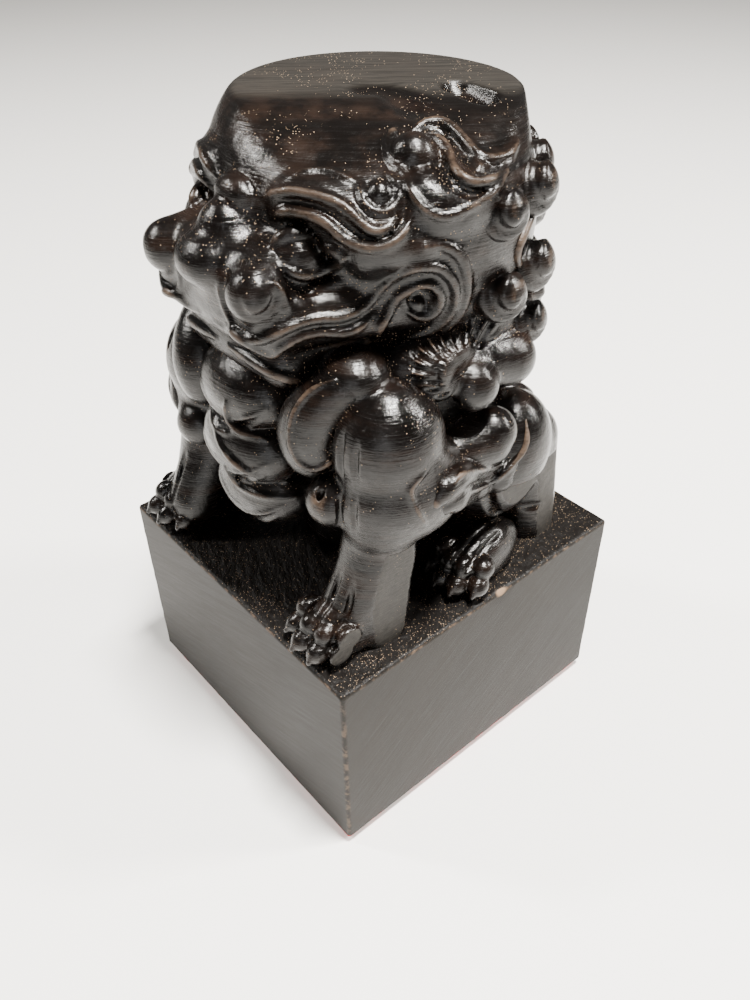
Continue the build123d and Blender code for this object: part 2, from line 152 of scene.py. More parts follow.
def egg(centre, halves, aim=(0, 0, 1), side=(1, 0, 0)):
    # an ellipsoid: halves are its half sizes along side, across, and along aim
    turn = frameAlong(aim, side)
    c, h = np.array(centre, float), np.array(halves, float)

    def distance(x, y, z):
        u, v, w = [t[0] * (x - c[0]) + t[1] * (y - c[1]) + t[2] * (z - c[2]) for t in turn]
        near = np.sqrt((u / h[0]) ** 2 + (v / h[1]) ** 2 + (w / h[2]) ** 2) + 1e-6
        slope = np.sqrt((u / h[0] ** 2) ** 2 + (v / h[1] ** 2) ** 2 + (w / h[2] ** 2) ** 2) + 1e-6
        return near * (near - 1) / slope

    reach = np.sqrt(((turn * h[:, None]) ** 2).sum(0))
    return distance, c - reach, c + reach


def ball(centre, radius):
    return egg(centre, (radius,) * 3)


def rod(start, end, startRadius, endRadius):
    a, b = np.array(start, float), np.array(end, float)
    run = b - a
    length2 = float(run @ run) + 1e-9

    def distance(x, y, z):
        share = np.clip(((x - a[0]) * run[0] + (y - a[1]) * run[1] + (z - a[2]) * run[2]) / length2, 0, 1)
        gap = np.sqrt((x - a[0] - share * run[0]) ** 2 + (y - a[1] - share * run[1]) ** 2
                      + (z - a[2] - share * run[2]) ** 2)
        return gap - (startRadius + share * (endRadius - startRadius))

    wide = max(startRadius, endRadius)
    return distance, np.minimum(a, b) - wide, np.maximum(a, b) + wide


def ovals(rows, base, size):
    # a stack of level ovals: rows are shares of rise, half width, half depth and lean
    height, halfWidth, halfDepth = size
    rise = [r[0] for r in rows]
    curves = [np.polyfit(rise, [r[i] for r in rows], len(rows) - 1) for i in (1, 2, 3)]

    def distance(x, y, z):
        share = np.clip((z - base) / height, 0, 1)
        wide, deep, lean = [np.polyval(curve, share) for curve in curves]
        wide, deep, lean = wide * halfWidth, deep * halfDepth, lean * halfDepth
        near = np.sqrt((x / wide) ** 2 + ((y - lean) / deep) ** 2) + 1e-6
        slope = np.sqrt((x / wide ** 2) ** 2 + ((y - lean) / deep ** 2) ** 2) + 1e-6
        side = near * (near - 1) / slope
        ends = np.maximum(base - z, z - base - height)
        return -smoothMin(-side, -(ends + 0 * side), endRound)

    # the room for the shape, with its lean to the front
    low = (-halfWidth * 1.05, -halfDepth * 2.0, base)
    high = (halfWidth * 1.05, halfDepth * 1.3, base + height)
    return distance, np.array(low), np.array(high)


def halfSpace(point, normal):
    # everything on the far side of a plane, along its normal
    p, n = np.array(point, float), np.array(normal, float)
    n /= np.linalg.norm(n)

    def distance(x, y, z):
        return (p[0] - x) * n[0] + (p[1] - y) * n[1] + (p[2] - z) * n[2]

    return distance, np.full(3, -2 * farAway), np.full(3, 4 * farAway)


def sampleClay(clay, points):
    spot = (np.asarray(points) - clay["low"]) / clay["step"]
    top = np.array(clay["value"].shape) - 2
    cell = np.clip(np.floor(spot).astype(int), 0, top)
    share = np.clip(spot - cell, 0, 1)
    total = 0
    for corner in np.ndindex(2, 2, 2):
        weight = np.prod(np.where(corner, share, 1 - share), axis=-1)
        total = total + weight * clay["value"][tuple((cell + corner).reshape(-1, 3).T)].reshape(weight.shape)
    return total


def castOn(clay, starts, ways, reach=110.0, pace=0.25):
    # the first place where each ray enters the clay; rays that miss are left out
    starts, ways = np.atleast_2d(starts), np.atleast_2d(ways)
    ways = ways / np.linalg.norm(ways, axis=1, keepdims=True)
    steps = np.arange(0, reach, pace)
    found = []
    for start, way in zip(starts, ways):
        track = start + steps[:, None] * way
        value = sampleClay(clay, track)
        hit = np.nonzero(value < 0)[0]
        if len(hit) and hit[0] > 0:
            i = hit[0]
            share = value[i - 1] / (value[i - 1] - value[i])
            found.append(track[i - 1] + share * pace * way)
    return np.array(found)


def castPixels(clay, pixels):
    # puts pixels of the photograph on the clay, along the camera's rays
    pixels = np.array(pixels, float)
    focal, (middleX, middleY) = photoCamera["focalPixels"], photoCamera["middle"]
    ways = (cameraRight * ((pixels[:, :1] - middleX) / focal) - cameraUp * ((pixels[:, 1:] - middleY) / focal)
            - cameraBack)
    ways /= np.linalg.norm(ways, axis=1, keepdims=True)
    return castOn(clay, cameraPlace + cameraGap * ways, ways)


def castSide(clay, points, pole=(0.0, 1.0)):
    # drops points on the clay from outside, level and towards the upright axis at pole
    points = np.atleast_2d(points)
    ways = np.zeros_like(points)
    ways[:, 0] = pole[0] - points[:, 0]
    ways[:, 1] = pole[1] - points[:, 1]
    ways /= np.linalg.norm(ways, axis=1, keepdims=True)
    starts = np.column_stack([np.full(len(points), pole[0]), np.full(len(points), pole[1]), points[:, 2]])
    return castOn(clay, starts - sideGap * ways, ways, reach=sideGap)


def smoothPath(points, spacing=0.5):
    # a Catmull-Rom curve through the points, at an even spacing
    p = np.array(points, float)
    p = np.vstack([2 * p[0] - p[1], p, 2 * p[-1] - p[-2]])
    out = []
    for a, b, c, d in zip(p, p[1:], p[2:], p[3:]):
        count = max(2, int(np.linalg.norm(c - b) / (spacing * 0.5)))
        for t in np.arange(count) / count:
            out.append(0.5 * (2 * b + (c - a) * t + (2 * a - 5 * b + 4 * c - d) * t * t
                              + (3 * b - a - 3 * c + d) * t ** 3))
    out = np.array(out + [p[-2]])
    along = np.concatenate([[0], np.cumsum(np.linalg.norm(np.diff(out, axis=0), axis=1))])
    even = np.linspace(0, along[-1], max(2, int(along[-1] / spacing) + 1))
    return np.column_stack([np.interp(even, along, out[:, i]) for i in range(3)])


def normalsAt(clay, points):
    shifts = clay["step"] * np.eye(3)
    slope = np.column_stack([sampleClay(clay, points + s) - sampleClay(clay, points - s) for s in shifts])
    return slope / (np.linalg.norm(slope, axis=1, keepdims=True) + 1e-9)


def line(clay, points, radius, rise, soft=0.25, taper=0.5, dig=False, surface=None):
    # a raised or dug line along points that lie on the clay: rise is its height or depth
    if len(points) < 2:
        return
    path = smoothPath(points)
    out = normalsAt(surface or clay, path)
    path = path + out * ((radius - rise) if dig else (rise - radius))
    # both ends fade to the taper
    fade = np.interp(np.linspace(0, 1, len(path)), [0, 0.12, 0.88, 1], [taper, 1, 1, taper])
    margin = radius + soft + 3 * clay["step"]
    spot = windowOf(clay, path.min(0) - margin, path.max(0) + margin)
    if spot is None:
        return
    part = spot[0]
    first = np.array([s.start for s in part])
    stroke = {"low": clay["low"] + clay["step"] * first, "step": clay["step"],
              "value": np.full([s.stop - s.start for s in part], farAway, np.float32)}
    for a, b, ra, rb in zip(path, path[1:], radius * fade, radius * fade[1:]):
        distance, low, high = rod(a, b, ra, rb)
        place = windowOf(stroke, low - margin, high + margin)
        if place:
            stroke["value"][place[0]] = np.minimum(stroke["value"][place[0]], distance(*place[1:]))
    old, new = clay["value"][part], stroke["value"]
    clay["value"][part] = -smoothMin(-old, new, soft) if dig else smoothMin(old, new, soft)


def mirrored(points):
    return np.array(points) * (-1, 1, 1)


def drawPixels(clay, pixels, radius, rise, bothSides=True, **how):
    # a line seen in the photograph, and its mirror image on the other side of the lion
    points = castPixels(clay, pixels)
    line(clay, points, radius, rise, **how)
    if bothSides and len(points) > 1:
        line(clay, mirrored(points), radius, rise, **how)


def drawAll(clay, strokes, **how):
    # each stroke is its pixels, radius, rise or depth, and the softness of its crease
    for pixels, radius, rise, soft in strokes:
        drawPixels(clay, pixels, radius, rise, soft=soft, **how)


def bothSidesOf(clay, pixel):
    # the point under a pixel and its mirror image, each with the way out of the wood
    left = castPixels(clay, [pixel])
    points = np.vstack([left, mirrored(left)])
    return list(zip(points, normalsAt(clay, points)))


def setBalls(clay, pixel, sunk, radius, soft):
    for point, out in bothSidesOf(clay, pixel):
        press(clay, ball(point - sunk * out, radius), soft)


def linked(name, data):
    thing = bpy.data.objects.new(name, data)
    bpy.context.scene.collection.objects.link(thing)
    return thing


def surfaceNet(clay):
    # one vertex in each cell that the surface crosses, and one quad for each grid edge it crosses
    v, low, step = clay["value"], clay["low"], clay["step"]
    inside = v < 0
    n = np.array(v.shape) - 1
    corners = sum(inside[i:i + n[0], j:j + n[1], k:k + n[2]].astype(np.int8) for i, j, k in np.ndindex(2, 2, 2))
    cells = np.argwhere((corners > 0) & (corners < 8))
    number = np.full(n, -1, np.int32)
    number[tuple(cells.T)] = np.arange(len(cells))
    total = np.zeros((len(cells), 3))
    count = np.zeros(len(cells))
    for axis in range(3):
        others = [a for a in range(3) if a != axis]
        for i, j in np.ndindex(2, 2):
            start = np.zeros(3, int)
            start[others[0]], start[others[1]] = i, j
            end = start.copy()
            end[axis] = 1
            a = v[tuple((cells + start).T)]
            b = v[tuple((cells + end).T)]
            crossed = (a < 0) != (b < 0)
            share = np.where(crossed, a / np.where(crossed, a - b, 1), 0)
            place = start + share[:, None] * (end - start)
            total += place * crossed[:, None]
            count += crossed
    points = low + step * (cells + total / count[:, None])
    quads = []
    for axis in range(3):
        b, c = (axis + 1) % 3, (axis + 2) % 3
        here = [slice(1, m) for m in n]
        here[axis] = slice(0, n[axis])
        there = list(here)
        there[axis] = slice(1, n[axis] + 1)
        first, second = inside[tuple(here)], inside[tuple(there)]
        edges = np.argwhere(first != second)
        edges += [s.start for s in here]
        leaving = inside[tuple(edges.T)]
        around = []
        for ob, oc in ((1, 1), (0, 1), (0, 0), (1, 0)):
            spot = edges.copy()
            spot[:, b] -= ob
            spot[:, c] -= oc
            around.append(number[tuple(spot.T)])
        quad = np.column_stack(around)
        quad[~leaving] = quad[~leaving][:, ::-1]
        quads.append(quad)
    return points, np.vstack(quads)


def meshFrom(name, points, quads, marks):
    mesh = bpy.data.meshes.new(name)
    mesh.vertices.add(len(points))
    mesh.vertices.foreach_set("co", (np.asarray(points) * mm).astype(np.float32).ravel())
    mesh.loops.add(len(quads) * 4)
    mesh.loops.foreach_set("vertex_index", quads.astype(np.int32).ravel())
    mesh.polygons.add(len(quads))
    mesh.polygons.foreach_set("loop_start", np.arange(0, len(quads) * 4, 4, dtype=np.int32))
    mesh.update(calc_edges=True)
    mesh.validate()
    for mark, values in marks.items():
        mesh.attributes.new(mark, "FLOAT", "POINT").data.foreach_set("value", values.astype(np.float32))
    mesh.polygons.foreach_set("use_smooth", np.ones(len(mesh.polygons), bool))
    return linked(name, mesh)


# Room for each form's grid, in millimetres: for the left one of a pair

spaces = {
    "head": ((-23, -29, 65), (23, 22, 93)),
    "jaw": ((-14, -22, 60), (14, 6, 71)),
    "torso": ((-19, -19, 31.5), (19, 24, 68)),
    "haunch": ((5, -6, 31.8), (24.5, 23, 60)),
    "hindPaw": ((12, -8, 31.5), (26, 14, 41)),
    "bib": ((-9, -25, 42), (10, -12, 68.5)),
    "sideMane": ((10, -14, 55), (25.5, 14, 88)),
    "elbow": ((12, -16, 44), (26, 10, 62)),
    "backMane": ((-20, 9, 36), (20, 26, 85)),
    "whole": ((-27, -30, 29), (27, 28, 95)),
}


# Head

head = {
    "base": 66.0,
    "size": (26.6, 21.0, 18.0),
    "rows": [(0, 0.67, 0.72, 0.05), (0.23, 0.90, 0.92, 0.05), (0.54, 1.0, 1.0, 0.05), (0.81, 0.93, 0.94, 0.05),
             (1.0, 0.80, 0.88, 0.16)],
}
muzzle = {
    "base": 71.0,
    "size": (13.5, 15.0, 13.5),
    "rows": [(0, 0.93, 0.95, -0.66), (0.35, 0.93, 1.0, -0.66), (0.60, 0.62, 0.90, -0.70),
             (0.80, 0.42, 0.72, -0.76), (1.0, 0.33, 0.52, -0.80)],
}
jaw = {
    "base": 61.1,
    "size": (9.5, 12.5, 11.5),
    "rows": [(0, 0.56, 0.60, -0.78), (0.45, 0.86, 0.88, -0.82), (1.0, 1.0, 1.0, -0.80)],
    "gap": 0.8,
}
brow = {
    "mass": [(276, 206), (292, 202), (308, 203), (324, 208), (340, 219), (354, 231), (368, 239),
             (382, 238), (396, 230)],
    "top": [(292, 176), (303, 172), (314, 170.5), (328, 171), (340, 175), (350, 180), (360, 184)],
    "ring": [(361, 184), (362, 196), (366, 206), (375, 212), (387, 212), (396, 205), (399, 194),
             (396, 182), (389, 175)],
    "middle": [(263, 199.5), (273, 194), (284, 191.5), (295, 191), (311, 194), (329, 199), (342, 205),
               (352, 213), (361, 222), (370, 229.5), (379, 232), (389, 228), (396, 219)],
    "low": [(271, 217), (281, 212.5), (294, 212.4), (305, 214.5), (316, 218), (328, 225), (338, 234.5),
            (347, 241), (358, 246), (370, 248), (384, 246), (396, 240), (404, 232), (410, 222), (411, 214)],
    "channel": [(280, 203), (294, 202), (310, 205), (324, 211), (336, 219), (348, 228), (360, 236), (372, 240),
                (385, 238), (396, 230), (403, 220)],
    "bead": (380.5, 194),
    "beadRadius": 1.5,
}
eye = {
    "middle": (302, 257),
    "socket": (3.8, 3.04, 1.5),
    "ball": 2.9,
    "upperLid": [(272, 246), (284, 237), (300, 234), (318, 240), (332, 248), (346, 257)],
    "lowerLid": [(277, 262), (289, 271), (303, 275), (318, 273), (333, 266), (346, 257)],
    "wrinkles": [[(287, 281), (298, 287.5), (313, 289), (325, 287.5), (344, 280)],
                 [(272, 283), (279, 290), (284, 301), (284, 314)]],
}
volute = {
    "cheekbone": [(360, 266), (375, 261), (392, 257), (411, 253), (427, 250)],
    "outer": [(425, 246.8), (441.7, 245.3), (457, 253), (464.7, 266.7), (467, 286.6), (464, 302), (457, 315),
              (445, 327), (430, 337.5), (413.5, 346), (394, 352)],
    "middle": [(386.5, 284.4), (398, 275), (412, 268), (427, 266.5), (441, 269.2), (451.7, 280), (455.5, 294),
               (451.7, 310.5), (441, 322.8), (425.7, 333), (405.8, 340)],
    "inner": [(374, 338), (380, 327), (386, 316.6), (392, 304.4), (401.2, 293.7), (413.5, 287.6),
              (425.7, 284.5), (434.9, 287.6), (440.3, 296.7), (438, 307.5), (430.3, 315),
              (419.6, 316.6), (408.9, 312)],
    "hollow": (421, 300),
    "hollowHalves": (1.8, 1.5, 1.2),
    "pip": (417, 303),
    "pipRadius": 0.9,
}
lip = {
    "upper": [(213.6, 321), (228.9, 330.3), (245.7, 338), (258, 340.3), (273.3, 334.9), (290, 327.2),
              (313, 319.6), (337.6, 318), (352.9, 313.5), (365, 305.8), (374.3, 296.6), (386.5, 284.4)],
    "edge": [(227, 325.7), (239.6, 338), (254.9, 351.7), (270, 354), (282.5, 347), (297.8, 338), (313, 333.4),
             (325.3, 331.8), (345, 333), (360, 327), (372, 315)],
    "lower": [(228.9, 345.6), (245.7, 356.3), (259.5, 365.5), (273.3, 373.2), (290, 378.5), (307, 379.5),
              (319, 378.5), (333, 374.7), (343.7, 365.5), (354.4, 353.3), (363.6, 344), (374, 336)],
}
ear = {
    "ball": (413.4, 155),
    "ballRadius": 2.6,
    "crescent": [(396, 128), (390.5, 138), (389, 147), (391.2, 159.6), (397.4, 168.8), (406.5, 172.5)],
    "rim": [(412.7, 130.5), (425, 122.9), (440.2, 121.3), (452.5, 127.5), (463.2, 138.2), (473.9, 150.4),
            (484.6, 158), (496.8, 158), (509, 153.5), (518, 141.2)],
    "fold": [(421.8, 138.2), (431, 135.9), (441.7, 141.2), (447.9, 150.4), (452.5, 162.7), (457, 171.8),
             (467.8, 179.5), (480, 182.5), (492.3, 179.5), (503, 171.8), (513, 158)],
    "edge": [(403.5, 171.8), (409.6, 190.2), (421.8, 207), (437, 216.2), (452.5, 215.5), (467.8, 208.6),
             (483, 199.4), (496.8, 187.1), (508, 171.8)],
    "leaf": [(420, 186), (436, 198), (454, 199), (470, 192), (486, 184)],
    "valley": [(430, 147), (436, 157), (442, 168), (452, 181), (466, 190), (482, 191), (497, 184)],
    "upperValley": [(430, 129), (444, 131), (456, 142), (464, 156), (475, 167), (488, 170), (502, 165)],
}
nose = {
    "bridge": ((0, -18.6, 80.4), (3.4, 3.6, 4.2)),
    "base": ((0, -18.9, 77.4), (10.4, 4.4, 4.2)),
    "tip": ((0, -21.5, 78.6), (4.2, 3.4, 3.0)),
    "wing": (8.4, -21.4, 77.5),
    "wingRadius": 2.8,
    "wingRoot": (6.6, -16.6, 79.0),
    "rootRadii": (2.6, 3.0),
    "lipBar": ((8.4, -19.0, 73.6), 3.6),
    "jawBar": ((7.0, -17.4, 67.8), 3.2),
    "curl": [(222, 276), (220.5, 290), (224, 305), (230.4, 319.6), (239.6, 331.8), (251.8, 339.5)],
    "wingCurl": [(241, 300), (241, 310), (247, 317), (258, 318), (269, 311), (275, 300), (275, 287)],
    "knob": ((0, -17.2, 84.6), (3.0, 1.9, 2.0)),
    "cheek": [(292, 306), (312, 303), (334, 302), (354, 298)],
}
cap = {
    "hollow": [(453, 80), (464, 85), (476, 91), (488, 97)],
    "step": [(352, 86), (378, 84), (396, 90), (409, 101), (420, 114)],
    "slope": ((1.3, -1.1, 92.7), (0.27, -0.228, 0.935)),
    "sand": 92.1,
}


def sidePlace(place, side):
    return np.array(place, float) * (side, 1, 1)


def acrossBar(end, radius):
    return rod(sidePlace(end, -1), end, radius, radius)


def carveHead():
    clay = newClay(*spaces["head"], headStep)
    press(clay, ovals(head["rows"], head["base"], head["size"]), 0)
    press(clay, halfSpace(*cap["slope"]), 3.0, dig=True)
    press(clay, ovals(muzzle["rows"], muzzle["base"], muzzle["size"]), 2.0)
    press(clay, acrossBar(*nose["lipBar"]), 2.0)
    for part, soft in (("bridge", 1.2), ("base", 1.4), ("tip", 0.7)):
        press(clay, egg(*nose[part]), soft)
    for side in (1, -1):
        wing, root = sidePlace(nose["wing"], side), sidePlace(nose["wingRoot"], side)
        press(clay, ball(wing, nose["wingRadius"]), 0.9)
        press(clay, rod(wing, root, *nose["rootRadii"]), 1.4)
    press(clay, egg(*nose["knob"]), 0.5)
    drawAll(clay, ((nose["cheek"], 2.6, 0.8, 0.8), (brow["mass"], 2.8, 1.3, 1.2),
                   (volute["cheekbone"], 2.6, 1.0, 1.0), (ear["leaf"], 3.6, 1.4, 0.6)))
    # eyes
    for point, out in bothSidesOf(clay, eye["middle"]):
        press(clay, egg(point + 0.5 * out, eye["socket"], out, (0, 0, 1)), 0.6, dig=True)
        press(clay, ball(point - 1.3 * out, eye["ball"]), 0.1)
    drawAll(clay, ((eye["upperLid"], 0.9, 0.85, 0.2), (eye["lowerLid"], 0.6, 0.6, 0.2)))
    drawAll(clay, [(wrinkle, 0.6, 0.5, 0.4) for wrinkle in eye["wrinkles"]])
    # brow lines
    drawAll(clay, [(brow["channel"], 0.7, 0.5, 0.3)], dig=True)
    drawAll(clay, ((brow["top"], 0.5, 0.35, 0.25), (brow["ring"], 0.6, 0.55, 0.25),
                   (brow["middle"], 0.6, 0.5, 0.25), (brow["low"], 0.6, 0.5, 0.25)))
    setBalls(clay, brow["bead"], 0.3, brow["beadRadius"], 0.1)
    # mouth corners
    drawAll(clay, ((volute["outer"], 0.7, 0.6, 0.25), (volute["middle"], 0.6, 0.6, 0.25),
                   (volute["inner"], 0.6, 0.6, 0.25)))
    for point, out in bothSidesOf(clay, volute["hollow"]):
        press(clay, egg(point, volute["hollowHalves"], out, (0, 0, 1)), 0.3, dig=True)
    setBalls(clay, volute["pip"], 0.2, volute["pipRadius"], 0.2)
    # nose wings and lips
    drawAll(clay, [(nose["wingCurl"], 0.45, 0.3, 0.3)], dig=True)
    drawAll(clay, ((nose["curl"], 0.5, 0.4, 0.25), (lip["upper"], 0.6, 0.5, 0.25),
                   (lip["edge"], 0.6, 0.5, 0.25)))
    # ears
    drawAll(clay, ((ear["valley"], 0.8, 0.6, 0.4), (ear["upperValley"], 0.7, 0.5, 0.4)), dig=True)
    drawAll(clay, ((ear["rim"], 0.6, 0.55, 0.25), (ear["fold"], 0.6, 0.5, 0.25),
                   (ear["edge"], 0.5, 0.4, 0.25), (ear["crescent"], 0.7, 0.6, 0.25)))
    setBalls(clay, ear["ball"], 0.4, ear["ballRadius"], 0.1)
    # the cap, sanded flat, with a hollow left in it
    drawAll(clay, ((cap["hollow"], 2.0, 1.8, 0.4), (cap["step"], 2.4, 0.9, 1.0)), bothSides=False, dig=True)
    press(clay, halfSpace((0, 0, cap["sand"]), (0, 0, 1)), 0.8, dig=True)
    clay["capTop"] = cap["sand"] - 0.5
    return clay


def sandFlat(clay, point, way, under=99.0):
    # cuts the clay back to a plane, up to a height, and notes where the plane is
    plane, low, high = halfSpace(point, way)
    press(clay, (lambda x, y, z: np.maximum(plane(x, y, z), z - under), low, high), 0.3, dig=True)
    out = np.array(way, float)
    clay.setdefault("flats", []).append((np.array(point, float), out / np.linalg.norm(out), under))


def carveJaw():
    clay = newClay(*spaces["jaw"])
    press(clay, ovals(jaw["rows"], jaw["base"], jaw["size"]), 0)
    press(clay, acrossBar(*nose["jawBar"]), 2.0)
    press(clay, halfSpace((0, 0, muzzle["base"] - jaw["gap"]), (0, 0, 1)), 0.4, dig=True)
    drawPixels(clay, lip["lower"], 0.7, 0.6)
    return clay


# Body

body = {
    "torso": ([(0, 0.76, 0.80, 0.22), (0.27, 0.90, 0.92, 0.18), (0.54, 1.0, 1.0, 0.06),
               (0.78, 1.0, 0.98, 0.0), (1.0, 0.84, 0.80, 0.0)], blockTop, (34.0, 17.5, 16.5)),
    "rump": ((0, 15.3, 42.2), (8.2, 8.2, 15.5), (1, 0, 0)),
    "haunch": ((14.3, 9.2, 45.5), (7.6, 7.6, 12.0), (0.45, 0.20, 1.0)),      # place, halves and aim
    "hock": ((16.0, 15.3, 47.6), (16.4, 16.2, 31.5), 4.4, 4.6),             # two ends and two radii
    "hockFlat": 20.4,
    "hockFlatTop": 46.0,
    "hockPole": (16.4, 16.2),
    "rings": (0.0, 1.3),
    "ringPlace": (24.0, 16.0, 35.2),
    "ringReach": (-3.5, -2.0, 0.0, 2.0, 4.0),
    "ringBend": 0.06,
    "hindPaw": ((19.5, 4.1, 34.7), (0.12, -1.0, 0.0), 7.0, 4.3),            # place, aim, half and radius
    "haunchSweep": [(23, 2, 50), (22.5, 4, 43), (20, 9, 38.5), (18, 14, 38)],
    "haunchPole": (6, 8),
}


def carveTorso():
    clay = newClay(*spaces["torso"], torsoStep)
    press(clay, ovals(*body["torso"]), 0)
    press(clay, egg(*body["rump"]), 1.0)
    return clay


def sideClay(side, low, high):
    low, high = sidePlace(low, side), sidePlace(high, side)
    return newClay(np.minimum(low, high), np.maximum(low, high))


def castAlong(clay, points, way):
    # drops points on the clay from afar, along one way
    way = np.array(way, float) / np.linalg.norm(way)
    points = np.atleast_2d(points)
    return castOn(clay, points - wayGap * way, np.tile(way, (len(points), 1)), reach=2 * wayGap)


def carveHaunch(side):
    clay = sideClay(side, *spaces["haunch"])
    centre, halves, aim = body["haunch"]
    press(clay, egg(sidePlace(centre, side), halves, sidePlace(aim, side)), 0)
    top, foot, topRadius, footRadius = body["hock"]
    press(clay, rod(sidePlace(top, side), sidePlace(foot, side), topRadius, footRadius), 1.0)
    x, y = body["haunchPole"]
    sweep = castSide(clay, sidePlace(body["haunchSweep"], side), pole=(side * x, y))
    line(clay, sweep, 0.8, 0.6, soft=0.5, dig=True)
    (x, y, z), (poleX, poleY), bend = body["ringPlace"], body["hockPole"], body["ringBend"]
    for lift in body["rings"]:
        ring = [(side * x, y + reach, z + lift + bend * abs(reach) ** 1.5) for reach in body["ringReach"]]
        line(clay, castSide(clay, ring, pole=(side * poleX, poleY)), 0.5, 0.4)
    sandFlat(clay, (side * body["hockFlat"], 14, 40), (side, 0.1, 0.05), under=body["hockFlatTop"])
    return clay


toe = {
    "spreads": [(-0.70, 0.55), (-0.24, 0.78), (0.25, 0.78), (0.71, 0.55)],
    "knuckle": (1.55, 1.6, 1.8),
    "pad": (1.5, 1.5, 1.8),
    "claw": (0.7, 0.35, 1.2),
    "gaps": (-0.5, 0.0, 0.5),
    "fan": 0.35,
    "apart": 1.02,
    "knuckleRise": 1.5,
    "padPlace": (1.5, -0.4),
    "padDip": 0.3,
    "clawPlace": (2.5, -0.2),
    "clawDip": 0.75,
}


def pressPaw(clay, centre, aim, half, radius, side):
    centre, aim = sidePlace(centre, side), sidePlace(aim, side)
    aim = aim / np.linalg.norm(aim)
    press(clay, egg(centre, (radius, radius * 0.8, half), aim, (0, 0, 1)), 0.3)
    across = np.cross(aim, (0, 0, 1))
    for spread, reach in toe["spreads"]:
        way = aim + toe["fan"] * spread * across
        root = centre + across * spread * radius * toe["apart"] + aim * reach * half
        press(clay, egg(root + (0, 0, toe["knuckleRise"]), toe["knuckle"], way), 0.25)
        ahead, rise = toe["padPlace"]
        press(clay, egg(root + ahead * way + (0, 0, rise), toe["pad"], way + (0, 0, -toe["padDip"])), 0.25)
        ahead, rise = toe["clawPlace"]
        tip = root + ahead * way + (0, 0, rise)
        clawRadius, clawPoint, clawLength = toe["claw"]
        end = tip + clawLength * (toe["clawDip"] * way + (0, 0, -toe["clawDip"]))
        press(clay, rod(tip, end, clawRadius, clawPoint), 0.2)
    # the gaps between the toes run back over the paw
    for spread in toe["gaps"]:
        start = centre + across * spread * radius + aim * half * 0.95
        end = centre + across * spread * radius * 0.8 - aim * half * 0.2
        line(clay, castAlong(clay, np.linspace(start, end, 6), (0, 0, -1)), 0.45, 0.35, dig=True)


def carveHindPaw(side):
    clay = sideClay(side, *spaces["hindPaw"])
    pressPaw(clay, *body["hindPaw"], side)
    return clay


fore = {
    "left": {"shoulder": (17.3, -11.5, 59.6), "top": (13.5, -13.0, 67.0),
             "knees": [(14.5, -17.4, 52.3), (18.6, -13.6, 49.6)],
             "leg": ((18.0, -12.6, 52.0), (18.0, -14.8, 34.0)),
             "paw": (17.2, -17.6, 35.0), "pawAim": (0.05, -1.0, 0)},
    "right": {"shoulder": (-13.8, -14.3, 58.2), "top": (-11.0, -14.5, 65.5),
              "knees": [(-12.6, -18.8, 50.6), (-17.6, -14.2, 49.0)],
              "leg": ((-15.8, -14.6, 52.0), (-17.8, -15.8, 34.0)),
              "paw": (-18.0, -17.6, 35.0), "pawAim": (-0.05, -1.0, 0)},
    "shoulderHalves": (6.8, 6.8, 7.6),
    "elbow": (0.6, 2.7, 1.1),
    "elbowHalves": (6.4, 8.6, 7.0),
    "instep": ((0, -1.2, -8.0), (-0.4, -5.6, -15.6), 4.3, 3.8),
    "topHalves": (4.2, 4.2, 3.2),
    "kneeRadii": (3.3, 4.4),
    "legRadii": (4.5, 4.6),
    "pawSize": (6.5, 5.2),
    "flat": 22.0,
    "flatTop": 47.0,
    "space": ((-13, -14, -21), (11, 12, 19)),
}


def carveForeleg(which):
    spec = fore[which]
    side = 1 if which == "left" else -1
    middle = np.array(spec["leg"][0])
    clay = newClay(middle + fore["space"][0], middle + fore["space"][1])
    press(clay, egg(spec["shoulder"], fore["shoulderHalves"]), 0)
    press(clay, egg(spec["top"], fore["topHalves"]), 0.8)
    press(clay, egg(middle + sidePlace(fore["elbow"], side), fore["elbowHalves"]), 1.2)
    for knee, radius in zip(spec["knees"], fore["kneeRadii"]):
        press(clay, ball(knee, radius), 1.3)
    press(clay, rod(*spec["leg"], *fore["legRadii"]), 0.5)
    start, end, startRadius, endRadius = fore["instep"]
    start, end = middle + sidePlace(start, side), middle + sidePlace(end, side)
    press(clay, rod(start, end, startRadius, endRadius), 1.2)
    pressPaw(clay, spec["paw"], spec["pawAim"], *fore["pawSize"], 1)
    sandFlat(clay, (side * fore["flat"], -13, 40), (side, -0.05, 0), under=fore["flatTop"])
    return clay


